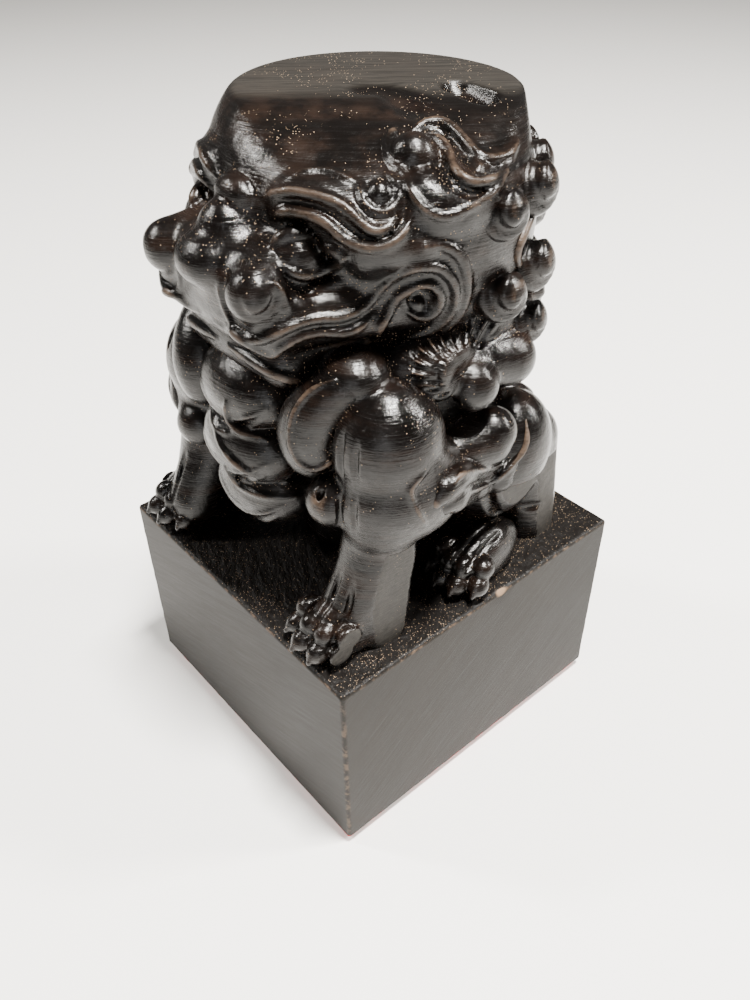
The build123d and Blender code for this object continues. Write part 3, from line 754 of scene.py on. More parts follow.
mane = {
    "bibs": [(0, -17.9, 62.0), (0.75, -18.9, 55.1), (1.25, -17.9, 48.5)],
    "bibHalves": (5.2, 5.2, 7.8),
    "bibRims": ((4.3, 6.6), (2.4, 7.4)),
    "rimBend": 3.4,
    "rimEnd": 0.92,
    "bibEdges": [[(226, 402), (228, 418), (240, 432), (267, 440)],
                 [(215, 417), (222, 446), (245, 470), (288, 481)],
                 [(225, 467), (240, 485), (264, 496), (296, 497)]],
    "locks": [[(14.7, -14.4, 66.7), (13.0, -15.8, 65.2), (11.7, -17.1, 62.8), (11.1, -17.8, 60.0),
               (11.5, -17.7, 58.0)],
              [(-13.0, -15.4, 66.5), (-10.6, -17.8, 63.6), (-9.4, -18.9, 61.0), (-9.3, -19.0, 58.8)]],
    "lockRadii": [2.4, 3.1, 3.6, 3.7, 3.2],
    "lockEdge": [(334, 380), (310, 392), (294, 414), (290, 440), (298, 461), (313, 469), (329, 462),
                 (341, 446)],
    "sideCurls": [(17.8, 8.4, 83.9), (20.0, 1.8, 83.3), (18.2, 8.7, 75.2), (20.0, 2.5, 74.0),
                  (18.2, 9.2, 68.0)],
    "bigCurl": ((20.0, -0.8, 63.8), 3.2),
    "sideMass": ((15.5, 5.0, 71.5), (4.2, 5.5, 13.0)),
    "sideFoot": ((19.0, 6.0, 64.5), (15.5, -7.0, 66.5), 3.6, 3.4),
    "fan": [(489, 322), (464, 330), (444, 346), (435, 370), (443, 394)],
    "comb": {"middle": (471, 376), "from": 30, "to": 62, "first": 118, "last": 286, "count": 14,
             "bend": 0.004},
    "rope": [(533, 202), (531, 216), (524, 234), (517, 252), (519, 268)],
    "elbowBall": ((20.9, 2.4, 56.4), 3.1),
    "elbow": ((20.4, 1.6, 55.4), (-0.22, -0.96, -0.14), 10.0, 3.6),
    "strands": [[(515, 462), (498, 476), (476, 486), (458, 498), (446, 512)],
                [(486, 470), (466, 474), (450, 486), (438, 503)]],
    "strandRadii": (2.2, 1.7),
    "elbowLines": [[(525.8, 420), (527, 439), (522.8, 452), (514, 462.5), (500.8, 475.7), (486, 484.5),
                    (471.5, 492)],
                   [(512, 452), (499.4, 465.5), (481.8, 470), (462.7, 474), (453.9, 484.5)]],
    "legLine": [(427.5, 469.9), (418.7, 478.7), (411, 489), (412.8, 502), (418.7, 514), (426, 525.6)],
    "backMass": ((0, 8.5, 66.5), (16.4, 12.6, 12.0)),
    "backLocks": [(5.4, 60, 47), (9.6, 61, 49), (13.6, 60, 50), (17.4, 60, 52)],      # side, top, foot
    "backSway": 0.8,
    "backAim": 0.25,
    "tail": ((0, 20.4, 52.4), (0, -0.16, 1.0), (4.8, 4.8, 13.5)),
    "tailLines": [-3.0, -1.5, 0.0, 1.5, 3.0],
    "tailWaist": (52, 13),
    "tailReach": (42.5, 63),
    "tailCurls": [(6.0, 20.4, 40.4), (6.0, 19.9, 51.8)],
    "curl": 2.325,
}


def drop(clay, places, radii):
    # a curved lock that swells and narrows as its radii say
    path = smoothPath(places)
    sizes = np.interp(np.linspace(0, 1, len(path)), np.linspace(0, 1, len(radii)), radii)
    for a, b, ra, rb in zip(path, path[1:], sizes, sizes[1:]):
        press(clay, rod(a, b, ra, rb), 0.3)


def carveBib():
    clay = newClay(*spaces["bib"])
    for place in mane["bibs"]:
        press(clay, egg(place, mane["bibHalves"], (1, 0, 0)), 0.1)
    for x, _, z in mane["bibs"]:
        for lower, spread in mane["bibRims"]:
            shares = np.linspace(-mane["rimEnd"], mane["rimEnd"], 9)
            arc = [(x + spread * t, -wayGap, z - lower + mane["rimBend"] * t * t) for t in shares]
            line(clay, castAlong(clay, arc, (0, 1, 0)), 0.4, 0.3)
    return clay


def carveNeckLock(index):
    places = np.array(mane["locks"][index])
    clay = newClay(places.min(0) - 5, places.max(0) + 5)
    drop(clay, places, mane["lockRadii"])
    drawPixels(clay, mane["lockEdge"], 0.45, 0.4, bothSides=False)
    return clay


def pressCurls(clay, places, side):
    # balls a little under the snail curls that are set on them later
    for place in places:
        press(clay, ball(sidePlace(place, side), mane["curl"]), 0.1)


def carveSideMane(side):
    clay = sideClay(side, *spaces["sideMane"])
    pressCurls(clay, mane["sideCurls"], side)
    place, radius = mane["bigCurl"]
    press(clay, ball(sidePlace(place, side), radius), 0.1)
    centre, halves = mane["sideMass"]
    press(clay, egg(sidePlace(centre, side), halves), 0.8)
    back, front, *radii = mane["sideFoot"]
    press(clay, rod(sidePlace(back, side), sidePlace(front, side), *radii), 0.8)
    return clay


def combPixels():
    # grooves that fan out from a middle, each bent a little round it
    comb = mane["comb"]
    (x, y), near, far = comb["middle"], comb["from"], comb["to"]
    strokes = []
    for turn in np.radians(np.linspace(comb["first"], comb["last"], comb["count"])):
        bends = [(r, turn + comb["bend"] * (r - near)) for r in np.linspace(near, far, 5)]
        strokes.append([(x + r * math.cos(bend), y + r * math.sin(bend)) for r, bend in bends])
    return strokes


def carveElbow(side):
    clay = sideClay(side, *spaces["elbow"])
    foot, aim, length, radius = mane["elbow"]
    foot, aim = sidePlace(foot, side), sidePlace(aim, side)
    press(clay, rod(foot, foot + aim * length, radius, radius * 0.75), 0.3)
    place, radius = mane["elbowBall"]
    press(clay, ball(sidePlace(place, side), radius), 0.2)
    return clay


def carveBackMane():
    clay = newClay(*spaces["backMane"])
    press(clay, egg(*mane["backMass"]), 0)
    for side in (1, -1):
        pressCurls(clay, mane["tailCurls"], side)
    centre, aim, halves = mane["tail"]
    press(clay, egg(centre, halves, aim), 0.1)
    middle, half = mane["tailWaist"]
    heights = np.linspace(*mane["tailReach"], 9)
    for x in mane["tailLines"]:
        groove = [(x * (1 - 0.5 * ((z - middle) / half) ** 2), 30, z) for z in heights]
        line(clay, castAlong(clay, groove, (0, -1, 0)), 0.45, 0.35, dig=True)
    return clay


def drawBackLocks(whole, shift, radius, rise, **how):
    # locks of hair that hang down the back from under the curls, or a groove along each of them
    t = np.linspace(0, 1, 7)
    for side in (1, -1):
        for x, top, foot in mane["backLocks"]:
            across = side * (x + shift * (1 - 0.6 * t) + mane["backSway"] * np.sin(3 * t))
            path = np.column_stack([across, np.full(7, 30.0), top + (foot - top) * t])
            cast = castAlong(whole, path, (-side * mane["backAim"], -1, 0))
            line(clays["backMane"][0], cast, radius, rise, surface=whole, **how)


def wholeClay():
    # every form together, coarsely, with the block under them: for casting and for finding creases
    whole = newClay(*spaces["whole"], wholeStep)
    grid = [whole["low"][i] + whole["step"] * np.arange(whole["value"].shape[i]) for i in range(3)]
    for clay, _ in clays.values():
        spots, keep = [], []
        for i in range(3):
            spot = np.rint((grid[i] - clay["low"][i]) / clay["step"]).astype(int)
            inside = (spot >= 0) & (spot < clay["value"].shape[i])
            spots.append(spot[inside])
            keep.append(np.nonzero(inside)[0])
        here = np.ix_(*keep)
        whole["value"][here] = np.minimum(whole["value"][here], clay["value"][np.ix_(*spots)])
    top = (grid[2] - blockTop)[None, None, :]
    x, y = [np.abs(grid[i]) - blockHalves[i] for i in (0, 1)]
    side = np.maximum(x[:, None, None], y[None, :, None])
    whole["value"] = np.minimum(whole["value"], np.maximum(top, side)).astype(np.float32)
    return whole


def drawOver(whole, name, pixels, radius, rise, **how):
    # a line cast on everything that the camera sees, and cut or raised in one form
    clay = clays[name][0]
    points = castPixels(whole, pixels)
    line(clay, points, radius, rise, surface=whole, **how)
    other = name.replace("Left", "Right")
    if other != name and len(points) > 1:
        line(clays[other][0], castSide(whole, mirrored(points)), radius, rise, surface=whole, **how)


print("carving")
both = lambda name: (name + "_left", name + "_right")
clays = {
    "lionHead": (carveHead(), ["skull", "muzzle", "upper_lip", "nose", "forehead_knob", *both("brow"),
                               *both("eye"), *both("cheek_volute"), *both("ear")]),
    "lowerJaw": (carveJaw(), ["lower_jaw"]),
    "trunk": (carveTorso(), ["torso", "rump"]),
    "chestBib": (carveBib(), ["chest_bib"]),
    "backMane": (carveBackMane(), [*both("mane_back"), *both("tail_curls"), "tail"]),
    "neckLockLeft": (carveNeckLock(0), ["neck_lock_left"]),
    "neckLockRight": (carveNeckLock(1), ["neck_lock_right"]),
    "forelegLeft": (carveForeleg("left"), ["shoulder_left", "foreleg_left", "forepaw_left"]),
    "forelegRight": (carveForeleg("right"), ["shoulder_right", "foreleg_right", "forepaw_right"]),
}
for word, side in (("Left", 1), ("Right", -1)):
    end = "_" + word.lower()
    clays["haunch" + word] = (carveHaunch(side), ["haunch" + end])
    clays["hindPaw" + word] = (carveHindPaw(side), ["hind_paw" + end])
    clays["sideMane" + word] = (carveSideMane(side), ["mane_curls" + end])
    clays["elbowCurl" + word] = (carveElbow(side), ["elbow_curl" + end])

print("hair")
whole = wholeClay()
drawOver(whole, "sideManeLeft", mane["fan"], 3.2, 1.7, soft=0.6)
drawBackLocks(whole, 0.0, 2.3, 1.5, soft=0.2, taper=0.3)
for strand, radius in zip(mane["strands"], mane["strandRadii"]):
    drawOver(whole, "elbowCurlLeft", strand, radius, 1.2, soft=0.3)
whole = wholeClay()
for stroke in combPixels():
    drawOver(whole, "sideManeLeft", stroke, 0.52, 0.5, soft=0.15, dig=True)
drawOver(whole, "sideManeLeft", mane["rope"], 0.6, 0.5)
for shift in (-1.1, 0.0, 1.1):
    drawBackLocks(whole, shift, 0.4, 0.35, soft=0.15, dig=True)
for stroke in mane["elbowLines"]:
    drawOver(whole, "elbowCurlLeft", stroke, 0.45, 0.35)
drawOver(whole, "forelegLeft", mane["legLine"], 0.5, 0.4)
for stroke in mane["bibEdges"]:
    drawOver(whole, "chestBib", stroke, 0.5, 0.45)
whole = wholeClay()


def blurred(values, reach):
    # a soft average over a few grid steps each way
    for axis in range(3):
        spots = np.arange(values.shape[axis])
        values = sum(np.take(values, np.clip(spots + shift, 0, len(spots) - 1), axis)
                     for shift in range(-reach, reach + 1)) / (2 * reach + 1)
    return values


wear = {
    "reach": 0.6,               # how far round a point its edges are felt, in millimetres
    "edgeFull": 0.22,           # how far it stands out where it is worn most
    "pawHeights": [40, 44],     # under these heights the wear shows less
    "pawShare": 0.35,
    "creaseFull": 0.7,          # how deep it lies where dust is thickest
    "capShare": 0.7,            # how much the sanding of the cap shows, over its last part of height
    "capBlend": 0.3,
    "flatDepth": 0.08,
}


def surfaceMarks(clay, points):
    # where the wood is worn, where dust gathers, and where it was sanded flat
    reach = max(1, int(round(wear["reach"] / clay["step"])))
    soft = dict(clay, value=blurred(np.clip(clay["value"], -2, 2), reach))
    height = points[:, 2]
    edge = np.clip(sampleClay(soft, points) / wear["edgeFull"], 0, 1)
    edge = edge * np.interp(height, wear["pawHeights"], [wear["pawShare"], 1])
    recess = np.clip(-sampleClay(softWhole, points) / wear["creaseFull"], 0, 1)
    sanded = wear["capShare"] * np.clip((height - clay.get("capTop", 2 * farAway)) / wear["capBlend"], 0, 1)
    for point, way, under in clay.get("flats", []):
        flat = np.abs((points - point) @ way) < wear["flatDepth"]
        sanded = np.maximum(sanded, flat & (height < under))
    return {"edge": edge, "recess": recess, "sanded": sanded}


softWhole = dict(whole, value=blurred(np.clip(whole["value"], -2.5, 2.5), 3))


# Materials: the wood's colours and finish, and the dust on it

grain = {
    "turn": math.radians(49.8),
    "fine": (1.6, 4.0, 0.65),
    "broad": (0.25, 2.0, 0.5),
}
alongGrain = (0, 0, -grain["turn"])
dust = {"perMillimetre": 4.6, "inCreases": 1.1, "onTop": 0.46, "size": 0.31, "color": (0.26, 0.19, 0.13, 1)}
wood = {
    "dark": (0.0018, 0.0013, 0.0011, 1),
    "brown": (0.0085, 0.0046, 0.0030, 1),
    "worn": (0.072, 0.048, 0.033, 1),
    "sanded": (0.026, 0.023, 0.0195, 1),
    "polish": 0.13,
    "wornDull": 0.25,
    "sandedDull": 0.55,
    "dustDull": 0.9,
    "streaks": 0.00006,
    "facets": 0.00014,
    "grit": 0.00003,
    "speckRise": 0.00006,
    "sheen": 0.30,
}


def addNode(tree, kind, settings, inputs):
    # an input is a value or another node's socket, under its name or its number
    node = tree.nodes.new(kind)
    for key, value in settings.items():
        setattr(node, key, value)
    for key, value in inputs.items():
        if isinstance(value, bpy.types.NodeSocket):
            tree.links.new(value, node.inputs[key])
        else:
            node.inputs[key].default_value = value
    return node


def wire(tree, kind, settings=None, **inputs):
    # adds a shader node: n0 is its first input, and _ stands for a space in a name
    named = {int(k[1:]) if k[1:].isdigit() else k.replace("_", " "): v for k, v in inputs.items()}
    return addNode(tree, "ShaderNode" + kind, settings or {}, named)


def maths(tree, operation, a, b=0.0, clamp=False):
    return wire(tree, "Math", {"operation": operation, "use_clamp": clamp}, n0=a, n1=b).outputs[0]


def times(tree, a, b):
    return maths(tree, "MULTIPLY", a, b)


def plus(tree, total, *others):
    for other in others:
        total = maths(tree, "ADD", total, other)
    return total


def remap(tree, value, low, high, to=0.0, top=1.0):
    return wire(tree, "MapRange", {"interpolation_type": "SMOOTHSTEP"}, Value=value, From_Min=low,
                From_Max=high, To_Min=to, To_Max=top).outputs[0]


def blend(tree, share, a, b):
    return wire(tree, "Mix", {"data_type": "RGBA"}, n0=share, n6=a, n7=b).outputs[2]


def mixed(tree, share, a, b):
    return wire(tree, "Mix", {"data_type": "FLOAT"}, n0=share, n2=a, n3=b).outputs[0]


def noise(tree, vector, scale, detail, roughness):
    return wire(tree, "TexNoise", Vector=vector, Scale=scale, Detail=detail, Roughness=roughness).outputs["Fac"]


def stretched(tree, stretch=(1, 1, 1), turn=(0, 0, 0)):
    # Object coordinates in millimetres, turned and then scaled along each axis
    place = wire(tree, "TexCoord").outputs["Object"]
    turned = wire(tree, "VectorRotate", {"rotation_type": "EULER_XYZ"}, Vector=place, Rotation=turn).outputs[0]
    return wire(tree, "VectorMath", {"operation": "MULTIPLY"}, n0=turned,
                n1=tuple(v / mm for v in stretch)).outputs[0]


def patches(tree, scale, detail, roughness, stretch=(1, 1, 1), turn=(0, 0, 0)):
    return noise(tree, stretched(tree, stretch, turn), scale, detail, roughness)


def facing(tree):
    # the surface's normal, as x, y and z
    return wire(tree, "SeparateXYZ", Vector=wire(tree, "NewGeometry").outputs["Normal"]).outputs


def heightUp(tree):
    return wire(tree, "SeparateXYZ", Vector=wire(tree, "TexCoord").outputs["Object"]).outputs[2]


def shade(color, share):
    return tuple(share * c for c in color[:3]) + (1,)


def placeGroup(tree, group, **inputs):
    return wire(tree, "Group", {"node_tree": group}, **inputs).outputs


def mark(tree, name):
    return wire(tree, "Attribute", {"attribute_name": name}).outputs["Fac"]


def newMaterial(name):
    material = bpy.data.materials.new(name)
    material.use_nodes = True
    tree = material.node_tree
    return material, tree, tree.nodes["Principled BSDF"]


def dress(tree, shader, color, rough, height=None, sheen=None):
    # gives the shader its color, roughness, raised marks and the strength of its highlights
    tree.links.new(color, shader.inputs["Base Color"])
    tree.links.new(rough, shader.inputs["Roughness"])
    if height:
        bump = wire(tree, "Bump", Height=height, Distance=1.0, Strength=1.0)
        tree.links.new(bump.outputs[0], shader.inputs["Normal"])
    if sheen:
        shader.inputs["Specular IOR Level"].default_value = sheen


def newGroup(name, inputs, outputs):
    group = bpy.data.node_groups.new(name, "ShaderNodeTree")
    for label, value in inputs.items():
        socket = group.interface.new_socket(label, in_out="INPUT", socket_type="NodeSocketFloat")
        socket.default_value = value
    for label in outputs:
        group.interface.new_socket(label, in_out="OUTPUT", socket_type="NodeSocketFloat")
    return group, group.nodes.new("NodeGroupInput").outputs, group.nodes.new("NodeGroupOutput").inputs


def grainGroup():
    # fine streaks along the billet: a mask for tone and a height for the polish that follows them
    group, given, out = newGroup("woodGrain", {"Streak Length": 0.12, "Fineness": 3.0}, ["Tone", "Height"])
    parts = wire(group, "SeparateXYZ", Vector=stretched(group, turn=alongGrain)).outputs
    along, across = [times(group, parts[i], given["Streak Length"]) for i in (0, 1)]
    up = times(group, parts[2], given["Fineness"])
    vector = wire(group, "CombineXYZ", X=along, Y=times(group, across, 2.0), Z=up).outputs[0]
    group.links.new(remap(group, noise(group, vector, *grain["broad"]), 0.35, 0.7), out["Tone"])
    group.links.new(noise(group, vector, *grain["fine"]), out["Height"])
    return group


def dustGroup():
    # pale specks that lie thickest in the creases and on what faces up
    group, given, out = newGroup("woodDust", {"Amount": 0.5, "Crease": 0.0}, ["Mask"])
    place = stretched(group)
    cells = wire(group, "TexVoronoi", {"feature": "F1"}, Vector=place, Scale=dust["perMillimetre"],
                 Randomness=1.0).outputs
    size = wire(group, "SeparateColor", Color=cells["Color"]).outputs
    drift = remap(group, noise(group, place, 0.16, 3.0, 0.5), 0.4, 0.7)
    lying = times(group, remap(group, facing(group)[2], -0.2, 0.9, 0.25, 1.0), drift)
    wanted = plus(group, times(group, given["Crease"], dust["inCreases"]), times(group, lying, dust["onTop"]))
    wanted = times(group, wanted, given["Amount"])
    chosen = maths(group, "LESS_THAN", size[0], wanted)
    near = maths(group, "LESS_THAN", cells["Distance"], times(group, size[1], dust["size"]))
    group.links.new(times(group, chosen, near), out["Mask"])
    return group


grainEffect = grainGroup()
dustEffect = dustGroup()


def makeCarvedWood():
    material, tree, shader = newMaterial("carvedWood")
    edge, recess, sanded = [mark(tree, name) for name in ("edge", "recess", "sanded")]
    streak = placeGroup(tree, grainEffect, Streak_Length=0.10, Fineness=3.2)
    specks = placeGroup(tree, dustEffect, Amount=1.0, Crease=recess)["Mask"]
    # dark and brown streaks, in patches
    patchy = remap(tree, patches(tree, 0.22, 4.0, 0.6), 0.35, 0.65)
    color = blend(tree, times(tree, streak["Tone"], patchy), wood["dark"], wood["brown"])
    # edges that hands have worn brown
    rub = patches(tree, 1.4, 3.0, 0.6, (0.5, 0.5, 2.0))
    worn = maths(tree, "MULTIPLY", remap(tree, edge, 0.45, 1.0), remap(tree, rub, 0.25, 0.6, 0.2), clamp=True)
    worn = times(tree, worn, remap(tree, patchy, 0.0, 0.8, 0.25, 0.9))
    color = blend(tree, worn, color, wood["worn"])
    # flats with the scratches of the sanding, and dust over all
    scratches = patches(tree, 1.6, 5.0, 0.7, (0.10, 1.6, 1.6), alongGrain)
    flat = blend(tree, remap(tree, scratches, 0.3, 0.7), shade(wood["sanded"], 0.35), wood["sanded"])
    color = blend(tree, sanded, color, flat)
    color = blend(tree, specks, color, dust["color"])
    polish = remap(tree, streak["Height"], 0.3, 0.75, wood["polish"], wood["polish"] + 0.12)
    polish = plus(tree, polish, times(tree, patchy, 0.08), times(tree, worn, wood["wornDull"]))
    dull, dusty = times(tree, sanded, wood["sandedDull"]), times(tree, specks, wood["dustDull"])
    rough = maths(tree, "MAXIMUM", polish, maths(tree, "MAXIMUM", dull, dusty), clamp=True)
    height = plus(tree, times(tree, streak["Height"], wood["streaks"]),
                  times(tree, patches(tree, 0.55, 2.0, 0.4), wood["facets"]),
                  times(tree, patches(tree, 3.2, 3.0, 0.65), wood["grit"]),
                  times(tree, specks, wood["speckRise"]))
    dress(tree, shader, color, rough, height, wood["sheen"])
    return material


carvedWood = makeCarvedWood()

print("meshing")
for name, (clay, nodes) in clays.items():
    points, quads = surfaceNet(clay)
    thing = meshFrom(name, points, quads, surfaceMarks(clay, points))
    thing.data.materials.append(carvedWood)
    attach(thing, "root")
    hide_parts(*nodes)
    print(name, len(quads) * 2)


# Curls: knobs of hair with a snail's groove, set on the places that the mane names

curls = {
    "radius": 3.3,
    "groove": 0.75,
    "turns": 3.6,
    "variety": 0.08,
    "seed": 7,
    "centre": (0.0, 4.0),
    "rows": [84.8, 79.2, 73.5, 67.8, 62.2],
    "perRow": 7,
    "span": 58,          # degrees from the middle of the back to the end of a row
    "from": 30,          # distance from which the rows are dropped on the neck
    "sunk": 0.9,
    "upward": 2.0,       # tilts each curl up a little from the way out
}


def curlTree():
    tree = bpy.data.node_groups.new("snailCurls", "GeometryNodeTree")
    sockets = (("Places", "Geometry", None), ("Radius", "Float", 1.0), ("Groove", "Float", 0.1),
               ("Turns", "Float", 5.0), ("Variety", "Float", 0.1), ("Seed", "Int", 1),
               ("Material", "Material", None))
    for label, kind, value in sockets:
        socket = tree.interface.new_socket(label, in_out="INPUT", socket_type="NodeSocket" + kind)
        if value is not None:
            socket.default_value = value
    tree.interface.new_socket("Curls", in_out="OUTPUT", socket_type="NodeSocketGeometry")
    given = tree.nodes.new("NodeGroupInput").outputs

    def add(kind, inputs, settings=None):
        return addNode(tree, kind, settings or {}, inputs).outputs

    # a ball, its surface sunk along a spiral round the pole
    knob = add("GeometryNodeMeshUVSphere", {"Segments": 44, "Rings": 26, "Radius": given["Radius"]})[0]
    place = add("ShaderNodeSeparateXYZ", {0: add("GeometryNodeInputPosition", {})[0]})
    around = maths(tree, "ARCTAN2", place[1], place[0])
    down = maths(tree, "ARCCOSINE", maths(tree, "DIVIDE", place[2], given["Radius"]))
    wave = maths(tree, "SINE", plus(tree, around, times(tree, down, given["Turns"])))
    fade = add("ShaderNodeMapRange", {"Value": down, "From Min": 0.15, "From Max": 0.6})[0]
    groove = remap(tree, wave, 0.1, 1.0)
    depth = times(tree, times(tree, groove, fade), times(tree, given["Groove"], -1.0))
    push = add("ShaderNodeVectorMath", {0: add("GeometryNodeInputNormal", {})[0], "Scale": depth},
               {"operation": "SCALE"})[0]
    carved = add("GeometryNodeSetPosition", {"Geometry": knob, "Offset": push})[0]
    ridge = add("ShaderNodeMapRange", {"Value": wave, "From Min": 0.0, "From Max": -1.0, "To Max": 0.7})[0]
    marked = add("GeometryNodeStoreNamedAttribute", {"Geometry": carved, "Name": "edge", "Value": ridge},
                 {"data_type": "FLOAT", "domain": "POINT"})[0]
    # one on each place, its pole along the way out, each a little larger or smaller
    way = add("GeometryNodeInputNamedAttribute", {"Name": "way"}, {"data_type": "FLOAT_VECTOR"})[0]
    turn = add("FunctionNodeAlignRotationToVector", {"Vector": way}, {"axis": "Z"})[0]
    smallest = maths(tree, "SUBTRACT", 1.0, given["Variety"])
    chance = add("FunctionNodeRandomValue", {"Min": smallest, "Max": plus(tree, 1.0, given["Variety"]),
                                             "Seed": given["Seed"]}, {"data_type": "FLOAT"})
    size = [output for output in chance if output.enabled][0]
    placed = add("GeometryNodeInstanceOnPoints", {"Points": given["Places"], "Instance": marked,
                                                  "Rotation": turn, "Scale": size})[0]
    real = add("GeometryNodeRealizeInstances", {0: placed})[0]
    smooth = add("GeometryNodeSetShadeSmooth", {0: real})[0]
    dressed = add("GeometryNodeSetMaterial", {"Geometry": smooth, "Material": given["Material"]})[0]
    tree.links.new(dressed, tree.nodes.new("NodeGroupOutput").inputs[0])
    return tree


def backRows():
    # rows of places round the back of head and neck, each half a step off the row above
    rows = []
    for number, height in enumerate(curls["rows"]):
        count = curls["perRow"] - number % 2
        reach = curls["span"] * (count - 1) / (curls["perRow"] - 1)
        for turn in np.radians(np.linspace(-reach, reach, count)):
            x, y = curls["from"] * math.sin(turn), curls["from"] * math.cos(turn)
            rows.append((x, curls["centre"][1] + y, height))
    places = castSide(whole, rows, pole=curls["centre"])
    return places - curls["sunk"] * normalsAt(softWhole, places)


def makeCurls():
    places = [sidePlace(p, side) for p in mane["sideCurls"] + mane["tailCurls"] for side in (1, -1)]
    places = np.vstack([places, backRows()])
    axis = np.tile(curls["centre"], (len(places), 1))
    ways = places - np.column_stack([axis, places[:, 2] - curls["upward"]])
    ways /= np.linalg.norm(ways, axis=1, keepdims=True)
    mesh = bpy.data.meshes.new("curlPlaces")
    mesh.from_pydata([tuple(p * mm) for p in places], [], [])
    way = mesh.attributes.new("way", "FLOAT_VECTOR", "POINT").data
    way.foreach_set("vector", ways.astype(np.float32).ravel())
    thing = linked("maneKnobs", mesh)
    tree = curlTree()
    modifier = thing.modifiers.new("curls", "NODES")
    modifier.node_group = tree
    values = {"Radius": curls["radius"] * mm, "Groove": curls["groove"] * mm, "Turns": curls["turns"],
              "Variety": curls["variety"], "Seed": curls["seed"], "Material": carvedWood}
    for socket in tree.interface.items_tree:
        if socket.item_type == "SOCKET" and socket.name in values:
            modifier[socket.identifier] = values[socket.name]
    view = bpy.context.evaluated_depsgraph_get()
    view.update()
    done = bpy.data.meshes.new_from_object(thing.evaluated_get(view))
    thing.modifiers.clear()
    thing.data = done
    done.name = "maneKnobs"
    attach(thing, "root")
    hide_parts("nape_curls")


print("curls")
makeCurls()


# Block

block = {
    "round": 0.55,
    "nibble": 0.35,
    "seed": 3,
    "grid": (0.14, 1.3, 1.0),                # fine step, coarse step, and width of the fine band
    "edgeReach": 0.9,
    "scratchRise": math.radians(36),
    "nick": ((25, 2.4, 32), 0.75, 0.4),      # place, reach and depth
    "nickWood": (0.20, 0.13, 0.08, 1),
    "wood": (0.0115, 0.0094, 0.0070, 1),
    "deep": (0.0038, 0.0032, 0.0028, 1),
    "edge": (0.075, 0.050, 0.034, 1),
    "top": (0.0035, 0.0026, 0.0022, 1),
    "paste": (0.42, 0.012, 0.010, 1),
    "pasteFoot": 0.0011,
    "pasteRise": 0.0019,
    "sheen": 0.16,
}


def evenSteps(low, high, fine, coarse, band):
    # grid lines: close together near both ends, further apart between
    near = np.arange(0, band, fine)
    middle = np.linspace(low + band, high - band, max(2, int((high - low - 2 * band) / coarse)))
    return np.concatenate([low + near, middle, (high - near)[::-1]])


def ripple(t, seed):
    # a smooth uneven line of nine waves, the same on each run
    rng = np.random.default_rng(seed)
    total = 0
    for wave in range(9):
        total = total + rng.uniform(0.3, 1) * np.sin(t * rng.uniform(0.3, 3.2) + rng.uniform(0, 6.3))
    return total / 9


def boxGrid(lines):
    # the six faces of a box, as quads between grid lines
    index, points, quads = {}, [], []

    def corner(*key):
        if key not in index:
            index[key] = len(points)
            points.append([lines[axis][key[axis]] for axis in range(3)])
        return index[key]

    last = [len(v) - 1 for v in lines]
    for axis in range(3):
        b, c = (axis + 1) % 3, (axis + 2) % 3
        for end in (0, last[axis]):
            for i in range(last[b]):
                for j in range(last[c]):
                    ring = []
                    for di, dj in ((0, 0), (1, 0), (1, 1), (0, 1)):
                        spot = [0, 0, 0]
                        spot[axis], spot[b], spot[c] = end, i + di, j + dj
                        ring.append(corner(*spot))
                    quads.append(ring if end else ring[::-1])
    return np.array(points), np.array(quads)


def makeBlock():
    low, high = [np.array(v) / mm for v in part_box("seal_block")]
    points, quads = boxGrid([evenSteps(low[i], high[i], *block["grid"]) for i in range(3)])
    middle, half = (low + high) / 2, (high - low) / 2
    # rounded edges, more here and less there
    uneven = np.clip(ripple(points.sum(1) * 1.7, block["seed"]), -0.5, 1)
    radius = (block["round"] + block["nibble"] * uneven)[:, None]
    inner = np.clip(points, low + radius, high - radius)
    out = points - inner
    length = np.linalg.norm(out, axis=1)[:, None]
    points = inner + out / np.maximum(length, 1e-6) * np.where(length > 0, radius, 0)
    distance = np.sort(half - np.abs(points - middle), axis=1)
    # a nick in one edge
    spot, reach, depth = block["nick"]
    nick = np.clip(1 - np.linalg.norm((points - spot) / (1, 1, 1.6), axis=1) / reach, 0, 1)
    points -= nick[:, None] * np.array([depth, 0, depth])
    marks = {"edge": np.clip(1 - distance[:, 1] / block["edgeReach"], 0, 1), "nick": nick}
    thing = meshFrom("sealBlock", points, quads, marks)
    thing.data.materials.append(makeBlockWood())
    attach(thing, "root")
    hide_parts("seal_block")


